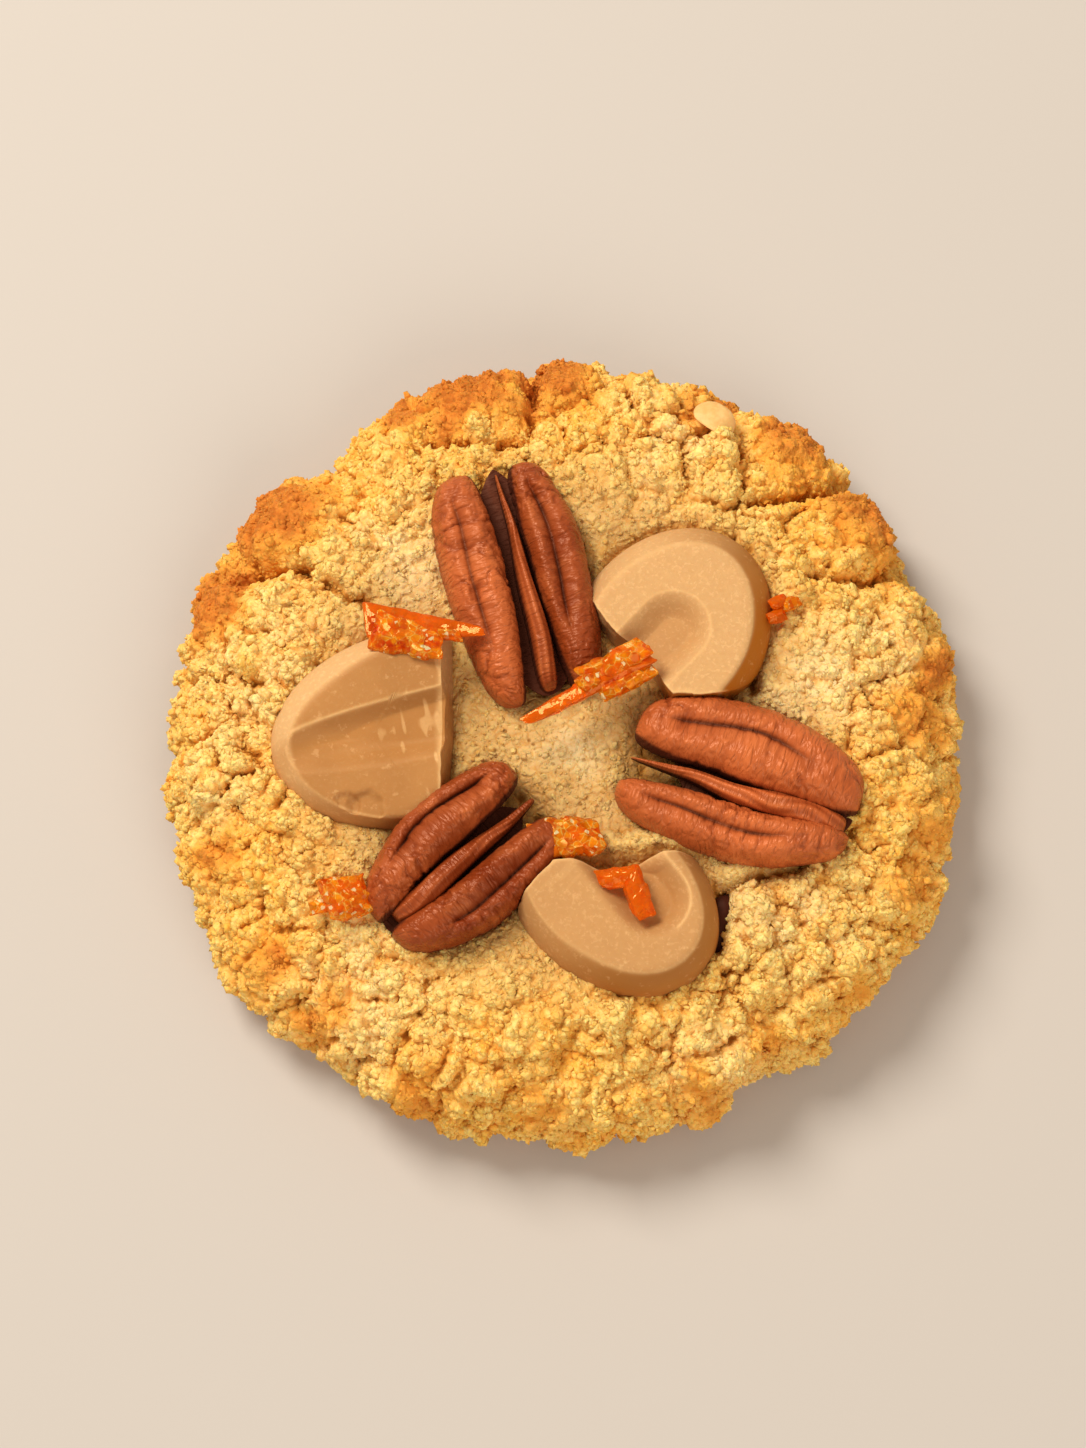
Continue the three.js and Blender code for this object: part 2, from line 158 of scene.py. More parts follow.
def discGrid(steps):
    # square rings of a sheet become round rings: share of the way out and angle of each corner,
    # triangles with their diagonals towards the sheet's corners, and the corners along the edge
    line = np.linspace(-1, 1, steps + 1)
    u, v = [part.ravel() for part in np.meshgrid(line, line)]
    share = np.maximum(abs(u), abs(v))
    wide = abs(u) >= abs(v)
    far = np.where(wide, u, v)
    turn = np.where(wide, v, u) / np.where(share == 0, 1, far) * math.pi / 4
    angle = np.where(wide, turn, math.pi / 2 - turn) + np.where(far < 0, math.pi, 0)
    corner = np.arange((steps + 1) ** 2).reshape(steps + 1, steps + 1)
    a, b, c, d = [part.ravel() for part in
                  (corner[:-1, :-1], corner[:-1, 1:], corner[1:, 1:], corner[1:, :-1])]
    alike = (u[a] + u[c] < 0) == (v[a] + v[c] < 0)
    faces = np.vstack([columns(a, b, np.where(alike, c, d)), columns(np.where(alike, a, b), c, d)])
    edge = np.concatenate([corner[0, :-1], corner[:-1, -1], corner[-1, :0:-1], corner[:0:-1, 0]])
    return share, angle, faces, edge


def smoothed(value, rounds):
    # blurs a value over a square sheet: each round mixes every corner half and half with its four neighbours
    side = math.isqrt(len(value))
    sheet = value.reshape(side, side)
    for _ in range(rounds):
        wide = np.pad(sheet, 1, mode='edge')
        sheet = sheet / 2 + (wide[:-2, 1:-1] + wide[2:, 1:-1] + wide[1:-1, :-2] + wide[1:-1, 2:]) / 8
    return sheet.ravel()


def closedBelow(points, faces, edge, values):
    # adds a point in the middle of the edge, with values of nought, and a fan of faces that look down
    fan = columns(len(points), np.roll(edge, -1), edge)
    points = np.vstack([points, points[edge].mean(axis=0)])
    return points, np.vstack([faces, fan]), {key: np.append(value, 0) for key, value in values.items()}


def ballGrid(along, around):
    # a ball with its poles on X: place from -1 to 1 along it, girth, angle round it, and its triangles
    slant = np.linspace(math.pi, 0, along + 1)[1:-1]
    turn = np.linspace(0, 2 * math.pi, around, endpoint=False)
    place = np.concatenate([[-1], np.repeat(np.cos(slant), around), [1]])
    girth = np.concatenate([[0], np.repeat(np.sin(slant), around), [0]])
    angle = np.concatenate([[0], np.tile(turn, along - 1), [0]])
    ring = 1 + np.arange((along - 1) * around).reshape(along - 1, around)
    side = np.roll(ring, -1, axis=1)
    a, b, c, d = [part.ravel() for part in (ring[:-1], ring[1:], side[1:], side[:-1])]
    ends = [columns(0, side[0], ring[0]), columns(ring[-1, -1] + 1, ring[-1], side[-1])]
    faces = np.vstack([columns(a, c, b), columns(a, d, c), *ends])
    return place, girth, (angle + math.pi) % (2 * math.pi) - math.pi, faces


def joined(parts):
    # several lots of points, faces and values as one
    starts = np.cumsum([0] + [len(part[0]) for part in parts[:-1]])
    points = np.vstack([part[0] for part in parts])
    faces = np.vstack([part[1] + start for part, start in zip(parts, starts)])
    return points, faces, {key: np.concatenate([part[2][key] for part in parts]) for key in parts[0][2]}


def turnAbout(axis, degrees):
    # turning matrix about X, Y or Z, as axis 0, 1 or 2: the one about X with its rows and columns moved on
    turn = math.radians(degrees)
    aboutX = [[1, 0, 0], [0, math.cos(turn), -math.sin(turn)], [0, math.sin(turn), math.cos(turn)]]
    return np.roll(np.array(aboutX), axis, (0, 1))


def placed(points, at, turn, tilt=(0, 0)):
    # tips points about X, then about Y, turns them about Z and moves them
    turned = turnAbout(2, turn) @ turnAbout(1, tilt[1]) @ turnAbout(0, tilt[0])
    return points @ turned.T + np.array(at)


def flatLocal(x, y, piece):
    # places on the table plane as seen from a piece: along its own length and across it
    turn = math.radians(piece['turn'])
    dx, dy = x - piece['at'][0], y - piece['at'][1]
    return dx * math.cos(turn) + dy * math.sin(turn), dy * math.cos(turn) - dx * math.sin(turn)


def addPiece(name, points, faces, material, node=None, values=None):
    # puts arrays into a mesh, with its values as attributes, and lets it ride on the cookie
    mesh = bpy.data.meshes.new(name)
    mesh.vertices.add(len(points))
    mesh.vertices.foreach_set('co', (points * mm).astype(np.float32).ravel())
    mesh.loops.add(faces.size)
    mesh.loops.foreach_set('vertex_index', faces.astype(np.int32).ravel())
    mesh.polygons.add(len(faces))
    mesh.polygons.foreach_set('loop_start', np.arange(0, faces.size, 3, dtype=np.int32))
    mesh.polygons.foreach_set('use_smooth', np.ones(len(faces), bool))
    for key, value in (values or {}).items():
        kind, field = ('FLOAT', 'value') if value.ndim == 1 else ('FLOAT_VECTOR', 'vector')
        attribute = mesh.attributes.new(key, kind, 'POINT')
        attribute.data.foreach_set(field, value.astype(np.float32).ravel())
    mesh.update()
    mesh.validate()
    mesh.materials.append(material)
    piece = bpy.data.objects.new(name, mesh)
    scene.collection.objects.link(piece)
    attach(piece, 'root')
    if node:
        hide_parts(node)
    print('made', name, 'with', len(faces), 'faces')


def addGroup(group, shape, material, slot, newName):
    # makes all pieces of one kind, each in place of the solid of the same name
    for name, piece in group['pieces'].items():
        points, faces, values = shape(piece)
        points = placed(points, piece['at'], piece['turn'], piece.get('tilt', (0, 0)))
        addPiece(f'{newName}_{name}', points, faces, material, f'{slot}_{name}', values)


# Shader maths

class Flow:
    # one socket of a material; arithmetic on it adds Math nodes
    def __init__(self, tree, socket=None):
        self.tree = tree
        self.socket = socket

    def node(self, kind, settings, inputs, out=0):
        made = self.tree.nodes.new('ShaderNode' + kind)
        for key, value in settings.items():
            setattr(made, key, value)
        for key, value in inputs.items():
            if isinstance(value, Flow):
                self.tree.links.new(value.socket, made.inputs[key])
            elif isinstance(value, tuple) and len(made.inputs[key].default_value) == 4:
                made.inputs[key].default_value = (*value, 1)
            else:
                made.inputs[key].default_value = value
        return Flow(self.tree, made.outputs[out])

    def maths(self, operation, a, b):
        return self.node('Math', {'operation': operation}, {0: a, 1: b})

    def __add__(self, other):
        return self.maths('ADD', self, other)

    def __sub__(self, other):
        return self.maths('SUBTRACT', self, other)

    def __rsub__(self, other):
        return self.maths('SUBTRACT', other, self)

    def __mul__(self, other):
        return self.maths('MULTIPLY', self, other)

    __radd__ = __add__
    __rmul__ = __mul__

    def vectors(self, operation, a, b, out=0):
        return self.node('VectorMath', {'operation': operation}, {0: a, 1: b}, out)

    def within(self, low, high):
        # smooth step from 0 at low to 1 at high
        return self.node('MapRange', {'interpolation_type': 'SMOOTHSTEP'}, {0: self, 1: low, 2: high})

    def value(self, name, out=2):
        # a piece's own attribute, as a number, or as a vector when out is 1
        return self.node('Attribute', {'attribute_name': name}, {}, out)

    def place(self):
        return self.node('TexCoord', {}, {}, 3)

    def noise(self, where, scale, detail=2.0, rough=0.5):
        inputs = {'Vector': where, 'Scale': scale, 'Detail': detail, 'Roughness': rough}
        return self.node('TexNoise', {}, inputs)

    def cells(self, where, scale, out=0, feature='F1'):
        # distance to the nearest spot of a cell, or that cell's colour or place when out is 1 or 2
        return self.node('TexVoronoi', {'feature': feature}, {'Vector': where, 'Scale': scale}, out)

    def cellNumber(self, where, scale):
        # one number from 0 to 1 for each cell
        return self.node('SeparateColor', {}, {0: self.cells(where, scale, 1)})

    def seams(self, where, scale):
        # distance to the border between cells, in cells
        return self.cells(where, scale, 0, 'DISTANCE_TO_EDGE')

    def facets(self, where, scale):
        # heights of flat facets, one to each cell, each at a slope its own way
        lean = self.vectors('SUBTRACT', self.cells(where, scale, 1), (0.5, 0.5, 0.5))
        away = self.vectors('SUBTRACT', where, self.cells(where, scale, 2))
        return self.vectors('DOT_PRODUCT', lean, away, 1) * scale

    def shifted(self, where, scale, reach):
        # places pushed about by the three parts of a noise's colour
        push = self.node('TexNoise', {}, {'Vector': where, 'Scale': scale}, 1)
        settings = {'operation': 'MULTIPLY_ADD'}
        return self.node('VectorMath', settings, {0: push, 1: (reach, reach, reach), 2: where})

    def mix(self, share, a, b, blend='MIX'):
        # from colour a to colour b, or to what they give together
        settings = {'data_type': 'RGBA', 'blend_type': blend}
        return self.node('Mix', settings, {0: share, 6: a, 7: b}, 2)

    def painted(self, colour, *layers):
        # colours laid over the first, each as far as its share says; a third entry says how it blends
        for share, paint, *blend in layers:
            colour = self.mix(share, colour, paint, *blend)
        return colour

    def bump(self, height, distance, strength=1.0):
        inputs = {'Height': height, 'Distance': distance, 'Strength': strength}
        return self.node('Bump', {}, inputs)


def newFinish(name, **constants):
    # a material with its even values set on the shader: returns it, its shader and a Flow of its tree
    material = bpy.data.materials.new(name)
    material.use_nodes = True
    shader = material.node_tree.nodes['Principled BSDF']
    for key, value in constants.items():
        shader.inputs[key.replace('_', ' ')].default_value = value
    return material, shader, Flow(material.node_tree)


def feed(shader, **links):
    # links flows to the shader's sockets
    for key, flow in links.items():
        flow.tree.links.new(flow.socket, shader.inputs[key.replace('_', ' ')])


# Camera, light and floor

view = dict(azimuth=-90, elevation=76, distance=520, aim=(-2.3, 4.5, 0), lens=113.5, sensor=36)
room = dict(
    world=(1.0, 0.90, 0.78), worldStrength=0.51, floorSize=4000, floorColour=(0.52, 0.47, 0.42),
    lights=dict(
        key=dict(azimuth=134, elevation=51, distance=900, size=420, power=8.2, colour=(1.0, 0.96, 0.89)),
        fill=dict(azimuth=-65, elevation=40, distance=1000, size=700, power=3.7, colour=(1.0, 0.93, 0.85))),
)


def addLooking(name, data, given, aim=(0, 0, 0)):
    # a camera or lamp round the cookie, in degrees from +X and above the floor, that looks at the aim
    turn, lift = math.radians(given['azimuth']), math.radians(given['elevation'])
    out = Vector((math.cos(turn) * math.cos(lift), math.sin(turn) * math.cos(lift), math.sin(lift)))
    made = bpy.data.objects.new(name, data)
    made.location = (Vector(aim) + out * given['distance']) * mm
    made.rotation_euler = out.to_track_quat('Z', 'Y').to_euler()
    scene.collection.objects.link(made)
    return made


def addCamera():
    # stands in front of the cookie and looks steeply down at it
    data = bpy.data.cameras.new('camera')
    data.lens = view['lens']
    data.sensor_fit = 'VERTICAL'
    data.sensor_height = view['sensor']
    data.clip_start = 0.01
    scene.camera = addLooking('camera', data, view, view['aim'])


def addRoom():
    # an even warm room, two round lamps and a pale floor
    world = bpy.data.worlds.new('room')
    world.use_nodes = True
    sky = world.node_tree.nodes['Background']
    sky.inputs['Color'].default_value = (*room['world'], 1)
    sky.inputs['Strength'].default_value = room['worldStrength']
    scene.world = world
    scene.view_settings.view_transform = 'Standard'
    for name, light in room['lights'].items():
        data = bpy.data.lights.new(name, 'AREA')
        data.shape = 'DISK'
        data.size = light['size'] * mm
        data.energy = light['power']
        data.color = light['colour']
        addLooking(name, data, light)
    half = room['floorSize'] / 2 * mm
    corners = [(-half, -half, 0), (half, -half, 0), (half, half, 0), (-half, half, 0)]
    mesh = bpy.data.meshes.new('floor')
    mesh.from_pydata(corners, [], [(0, 1, 2, 3)])
    mesh.materials.append(newFinish('paleFloor', Roughness=0.8, Base_Color=(*room['floorColour'], 1))[0])
    floor = bpy.data.objects.new('floor', mesh)
    scene.collection.objects.link(floor)


addCamera()
addRoom()
print('camera, light and floor set')


# Pecan halves, ridged side up

# +X of each half is the end where its ridge is thin, and +Y its first lobe. 'lobes' is how far each lobe's
# inner and outer side lie from the middle line, 'ends' how the channel beside each widens to +X and -X,
# 'taper' how much wider the +X end is, 'ridge' half the ridge's thickness at +X, in the middle and at -X,
# 'shift' how far to +Y it lies, 'reach' and 'core' how far the ridge and the dark heart go to +X and -X,
# 'lines' how far out each lobe's groove lies, in radians, 'valleys' how deep it is, 'tips' how far out the
# lobes' +X and -X tips lie, and 'pale' how light the skin of each lobe is, partly painted light: lighter and
# sheenier on lobes that face the lamp, darker on those turned away.
pecan = dict(
    pieces=dict(
        top=dict(
            at=(-4.6, 16.5, 16), turn=104, tilt=(3, 0), length=27.0, width=16.0, taper=0.1,
            lobes=((1.4, 8.4), (1.2, 7.7)), ends=((0.2, 0.5), (-0.8, 0.5)), ridge=(0.25, 0.9, 1.6),
            shift=-0.1, reach=(0.96, 0.94), core=(1.02, 0.97), lines=(0.17, -0.2), valleys=(0.6, 0.9),
            tips=(0.6, 0.5), pale=(0.8, 0.2), wrinkle=0.9, seed=11),
        right=dict(
            at=(19.6, -6.3, 16), turn=161, tilt=(-4, 0), length=26, width=17.4, taper=0.0,
            lobes=((2.5, 8.9), (-0.3, 8.9)), ends=((0.1, -1.9), (-0.4, -0.6)), ridge=(0.2, 1.2, 2.0),
            shift=1.3, reach=(0.96, 0.94), core=(0.6, 0.98), lines=(0.0, 0.1), valleys=(0.7, 0.8),
            tips=(0.6, 0.5), pale=(0.95, 0.95), wrinkle=0.8, seed=23),
        left=dict(
            at=(-11.3, -15.2, 16.2), turn=42, tilt=(4, 0), length=22.2, width=15.8, taper=0.0,
            lobes=((1.3, 7.9), (1.3, 7.9)), ends=((0.0, -1.1), (0.0, -1.1)), ridge=(0.5, 1.3, 1.8),
            shift=0.0, reach=(0.96, 0.86), core=(0.8, 0.98), lines=(0.3, 0.22), valleys=(1.1, 1.0),
            tips=(0.7, 0.3), pale=(0.3, 0.05), wrinkle=0.9, seed=37)),
    lobeSteps=(190, 130), ridgeSteps=(140, 48), coreSteps=(60, 48), crown=5.4, belly=3.2, squareness=0.85,
    plumpness=0.62, innerRoll=0.1, unevenness=0.32, lumpSize=6.5, ridgeHeight=(0.42, 0.86), coreWidth=0.6,
    coreTop=0.05, valleyDepth=1.6, valleyWidth=0.34, cutDepth=0.5, cutWidth=0.06, grooveSway=0.14,
    wrinkleDepth=0.28, creaseSize=0.7, creaseWidth=0.18, foldSize=1.6, foldWidth=0.14,
)


def pecanLobe(piece, side):
    # a ball drawn out along X: its middle line bows out, its section is squarish, taller above than below
    # and tallest inside; a valley with a narrow cut runs along its crest; noise and wrinkles roughen it
    seed = piece['seed'] + (50 if side > 0 else 0)
    lobe = 0 if side > 0 else 1
    (nearest, farthest), (atPlus, atMinus) = piece['lobes'][lobe], piece['ends'][lobe]
    deep = piece['valleys'][lobe]
    along, girth, angle, faces = ballGrid(*pecan['lobeSteps'])
    cosine, sine = np.cos(angle), np.sin(angle)
    plump = girth ** pecan['plumpness']
    x = along * piece['length'] / 2
    channel = nearest + atPlus * step(along, 0.1, 1) + atMinus * step(along, -0.1, -1)
    halfWide = (farthest - nearest) / 2 * (1 + piece['taper'] * along)
    line = columns(x, side * 7.0, 0)
    drift = pecan['grooveSway'] * softNoise(line, 7.0, seed) - side * piece['lines'][lobe]
    spread = np.where(along > 0, *piece['tips'])
    middle = side * (channel + halfWide * lerp(spread, 1, plump))
    across, up = [signedPower(share, pecan['squareness']) for share in (cosine, sine)]
    crown = pecan['crown'] * (1 - side * pecan['innerRoll'] * cosine)
    rise = up * np.where(angle > 0, crown, pecan['belly']) * plump
    reach = step(along, 0.88, 0.58) * step(along, -0.72, -0.2)
    off = angle - math.pi / 2 - drift
    valley = np.exp(-(abs(off) / pecan['valleyWidth']) ** 1.3)
    cut = bell(off / pecan['cutWidth']) * lerp(0.6, 1.0, softNoise(line, 4.0, seed + 5) * 0.5 + 0.5)
    rise = rise - reach * (deep * pecan['valleyDepth'] * valley + pecan['cutDepth'] * cut)
    points = columns(x, middle + halfWide * plump * across, rise)

    # wrinkles run across the lobe, close together, where two stretched noises change their sign
    flow = columns(x, angle * (halfWide + pecan['crown']) / 2, side * 9.0)
    bent = warped(flow, 3.0, 0.9, seed + 7) * np.array([1, 0.25, 1])
    crease = bell(softNoise(bent, pecan['creaseSize'], seed + 8) / pecan['creaseWidth'])
    fold = bell(softNoise(bent, pecan['foldSize'], seed + 9) / pecan['foldWidth'])
    patchy = step(softNoise(flow, 5.0, seed + 6), -0.3, 0.7)
    strength = piece['wrinkle'] * (0.35 + 0.5 * valley * reach + 0.6 * patchy)
    depth = -pecan['wrinkleDepth'] * strength * (0.7 * crease + fold)
    lumpy = pecan['unevenness'] * layeredNoise(points + seed, pecan['lumpSize'], seed + 3, 2)
    outward = points - columns(x * 0.97, middle, 0)
    outward /= np.maximum(lengths(outward), 1e-6)[:, None]
    points = points + outward * ((depth + lumpy) * step(girth, 0.02, 0.25))[:, None]
    # painted shade: the inner wall beside the channel and the low outer side are darkened, along with the
    # valley and the narrow cut; the creases and folds are darkened as well
    inner = step(-side * cosine, 0.55, 1.0) * step(rise, 3.6, 1.6)
    outer = step(side * cosine, 0.3, 0.9) * step(rise, 2.8, 0.4)
    return points, faces, dict(
        groove=np.clip(reach * (0.7 * cut + 0.18 * deep * valley) + inner + 0.3 * outer, 0, 1),
        rippleShade=np.clip(strength * (0.6 * crease + 0.8 * fold), 0, 1),
        pale=np.full(len(x), piece['pale'][lobe]),
        flow=flow)


def pecanRidge(piece):
    # a wall along the middle: a ball drawn out along X, thick and tall at one end, thin and low at the other
    along, girth, angle, faces = ballGrid(*pecan['ridgeSteps'])
    sine = np.sin(angle)
    low, high = pecan['ridgeHeight']
    x = along * piece['length'] / 2 * np.where(along > 0, *piece['reach'])
    wide = np.interp(along, (-1, 0, 1), piece['ridge'][::-1]) * girth ** 0.4
    top = pecan['crown'] * lerp(high, low, step(along, -0.5, 0.9))
    line = columns(x, 0, 0)
    sway = 0.3 * softNoise(line, 6.0, piece['seed'] + 61)
    y = piece['shift'] + wide * signedPower(np.cos(angle), 0.8) + sway
    z = np.where(angle > 0, top * girth ** 0.6, 1.5 * girth) * signedPower(sine, 0.7)
    grain = np.sin(9 * angle + 4 * softNoise(line, 4.0, piece['seed'] + 62)) * np.minimum(wide, 1)
    z = z + 0.1 * grain * step(sine, 0, 0.5)
    return columns(x, y, z), faces, dict(
        # painted shade on the ridge's lower sides, and in the troughs of its stripes
        groove=step(sine, 0.75, 0.25) * 0.9,
        rippleShade=np.clip(0.4 - 0.4 * grain, 0, 1),
        pale=np.full(len(x), np.mean(piece['pale'])),
        flow=columns(x, angle * wide, 30.0))


def pecanCore(piece):
    # the flat heart under lobes and ridge: a low oval ball with a pointed end, dark where it shows, which is
    # the membrane's own colour and painted shade
    along, girth, angle, faces = ballGrid(*pecan['coreSteps'])
    x = along * piece['length'] / 2 * np.where(along > 0, *piece['core'])
    y = girth ** np.where(along > 0, 1.6, 1) * np.cos(angle) * piece['width'] * pecan['coreWidth'] / 2
    z = girth * np.sin(angle) * np.where(angle > 0, pecan['crown'] * pecan['coreTop'], pecan['belly'])
    points = columns(x, y, z)
    streak = softNoise(points * np.array([0.1, 1, 1]), 0.5, piece['seed'] + 63)
    return points, faces, dict(
        groove=0.8 - 0.2 * streak + 0.2 * step(along, 0.8, 0.2),
        rippleShade=np.full(len(x), 0.5),
        pale=np.full(len(x), np.mean(piece['pale'])),
        flow=points + np.array([0, 0, 60.0]))


def pecanShape(piece):
    # two lobes, the ridge between them and the heart below
    return joined([pecanLobe(piece, 1), pecanLobe(piece, -1), pecanRidge(piece), pecanCore(piece)])


def pecanFinish():
    # toasted skin: red-brown, mottled, lighter on lobes that face the lamp as painted light, near black in
    # the grooves, creases and under the lobes as painted shade, a dark membrane at the heart, with a light
    # oily gloss
    material, shader, flow = newFinish('pecanSkin', IOR=1.45, Specular_IOR_Level=0.6,
                                       Specular_Tint=(1.0, 0.55, 0.35, 1))
    place = flow.place()
    groove, rippleShade, pale = [flow.value(key) for key in ('groove', 'rippleShade', 'pale')]
    mottle = flow.noise(place, 260, 3, 0.6)
    blotch = flow.noise(place, 90, 2)
    long = flow.vectors('MULTIPLY', flow.value('flow', 1), (1.0, 0.3, 1.0))
    fine = flow.noise(long, 2.6, 3, 0.6)
    net = flow.seams(flow.shifted(long, 1.2, 0.5), 1.5)
    colour = flow.painted(
        (0.18, 0.020, 0.0015),
        # partly painted light: lobes that face the lamp are lighter
        (pale * 0.75 + blotch.within(0.35, 0.7) * 0.3, (0.58, 0.135, 0.034)),
        (mottle.within(0.5, 0.8) * 0.4, (0.68, 0.190, 0.050)),
        # painted shade in the creases and folds
        (rippleShade * 0.65, (0.17, 0.020, 0.003)),
        # painted shade in the grooves, on inner walls and under the lobes, and the membrane's own dark
        # colour
        (groove.within(0.05, 0.8) * 0.96, (0.045, 0.005, 0.0015)))
    rough = 0.24 + 0.2 * fine + 0.4 * groove
    relief = flow.bump(0.6 * fine + 0.5 * mottle + 0.4 * net.within(0.0, 0.3), 0.26 * mm, 0.8)
    feed(shader, Base_Color=colour, Roughness=rough, Normal=relief)
    return material


# Caramel chocolate buttons, broken across their scooped channel

# 'half' is half of each oval's length and width, 'corner' how sharply it meets the 'breaks', each of them a
# direction in degrees and a distance. 'scoop' is the middle of the channel's end, half its width, how far it
# reaches and which way it points, and 'dent' its depth and the width of its wall. 'bevel' is the width of
# the sloping side, 'widen' where and by what share it is wider, 'lean' how far the broken wall slopes out
# and 'bite' how far it goes in at the channel. 'chips' are places, sizes and depths. 'tones' is how pale the
# top, the channel and the sides are, and how deep the far sides' colour is: the top's paleness is bloom, the
# channel's and the sides' are partly painted light and shade, sides lighter towards the lamp, far sides
# deeper.
button = dict(
    pieces=dict(
        left=dict(
            at=(-16.4, 0, 16.3), turn=192, tilt=(-7, 3), half=(16.3, 11.2), corner=26, core=(5, 0),
            breaks=((168, 3.1), (128, 9.2)), scoop=(-6, 0.05, 3.65, 24.0, 0), dent=(1.5, 1.5),
            softSide=1, bevel=2.0, widen=(-57, 0.4), lean=1.5, bite=0.0, worn=1.0,
            chips=((7.2, 8.0, 2.6, 0.55), (9.0, 7.2, 1.6, 0.4)), tones=(0.14, 0.06, 1.25, 0.0), seed=5),
        right=dict(
            at=(11.7, 10.8, 16.0), turn=57, tilt=(-1, 2), half=(13.5, 10.7), corner=6, core=(3.4, 0),
            breaks=((164.6, 5.2), (213, 8.1)), scoop=(0, -0.4, 3.9, 3.9, -10), dent=(2.2, 2.0),
            softSide=0, bevel=2.5, widen=(33, 0.3), lean=0.0, bite=1.0, worn=0.0,
            chips=(), tones=(0.85, 0.5, 0.9, 0.7), seed=6),
        bottom=dict(
            at=(5.35, -18.75, 15.8), turn=-40, tilt=(-1, 1), half=(12.9, 9.8), corner=16, core=(2.0, -2.4),
            breaks=((134, 3.8), (179.6, 7.3)), scoop=(3.9, 1.9, 4.1, 4.1, -12), dent=(2.0, 2.0),
            softSide=-1, bevel=2.1, widen=(0, 0), lean=0.0, bite=1.2, worn=0.3,
            chips=(), tones=(0.5, 0.22, 0.5, 0.1), seed=7)),
    height=7, steps=230, shoulder=0.8, flatShare=0.6, topShare=0.74, tuck=0.3, crispness=0.85,
    tearing=0.3, tearSize=2.4, unevenness=0.10, lumpSize=5.0,
    section=((0, 1), (0.3, 1), (0.6, 1), (0.73, 1), (0.78, 0.985), (0.82, 0.94), (0.88, 0.82), (0.94, 0.66),
             (0.98, 0.48), (1.0, 0.25)),
    # painted light: the sides are painted palest towards the lamp, on the cookie's far left, and deepest
    # away from it
    lampWay=135,    # the sides are palest on the cookie's far left
)


def buttonReach(piece, angle):
    # distance from the core to the oval and to the nearest break, for each direction
    coreX, coreY = piece['core']
    halfLength, halfWidth = piece['half']
    dx, dy = np.cos(angle), np.sin(angle)
    a = (dx / halfLength) ** 2 + (dy / halfWidth) ** 2
    b = coreX * dx / halfLength ** 2 + coreY * dy / halfWidth ** 2
    c = (coreX / halfLength) ** 2 + (coreY / halfWidth) ** 2 - 1
    oval = (np.sqrt(b * b - a * c) - b) / a
    broken = np.full(len(angle), 99.0)
    for way, distance in piece['breaks']:
        nx, ny = math.cos(math.radians(way)), math.sin(math.radians(way))
        facing = np.maximum(dx * nx + dy * ny, 1e-3)
        broken = np.minimum(broken, (distance - coreX * nx - coreY * ny) / facing)
    return oval, broken


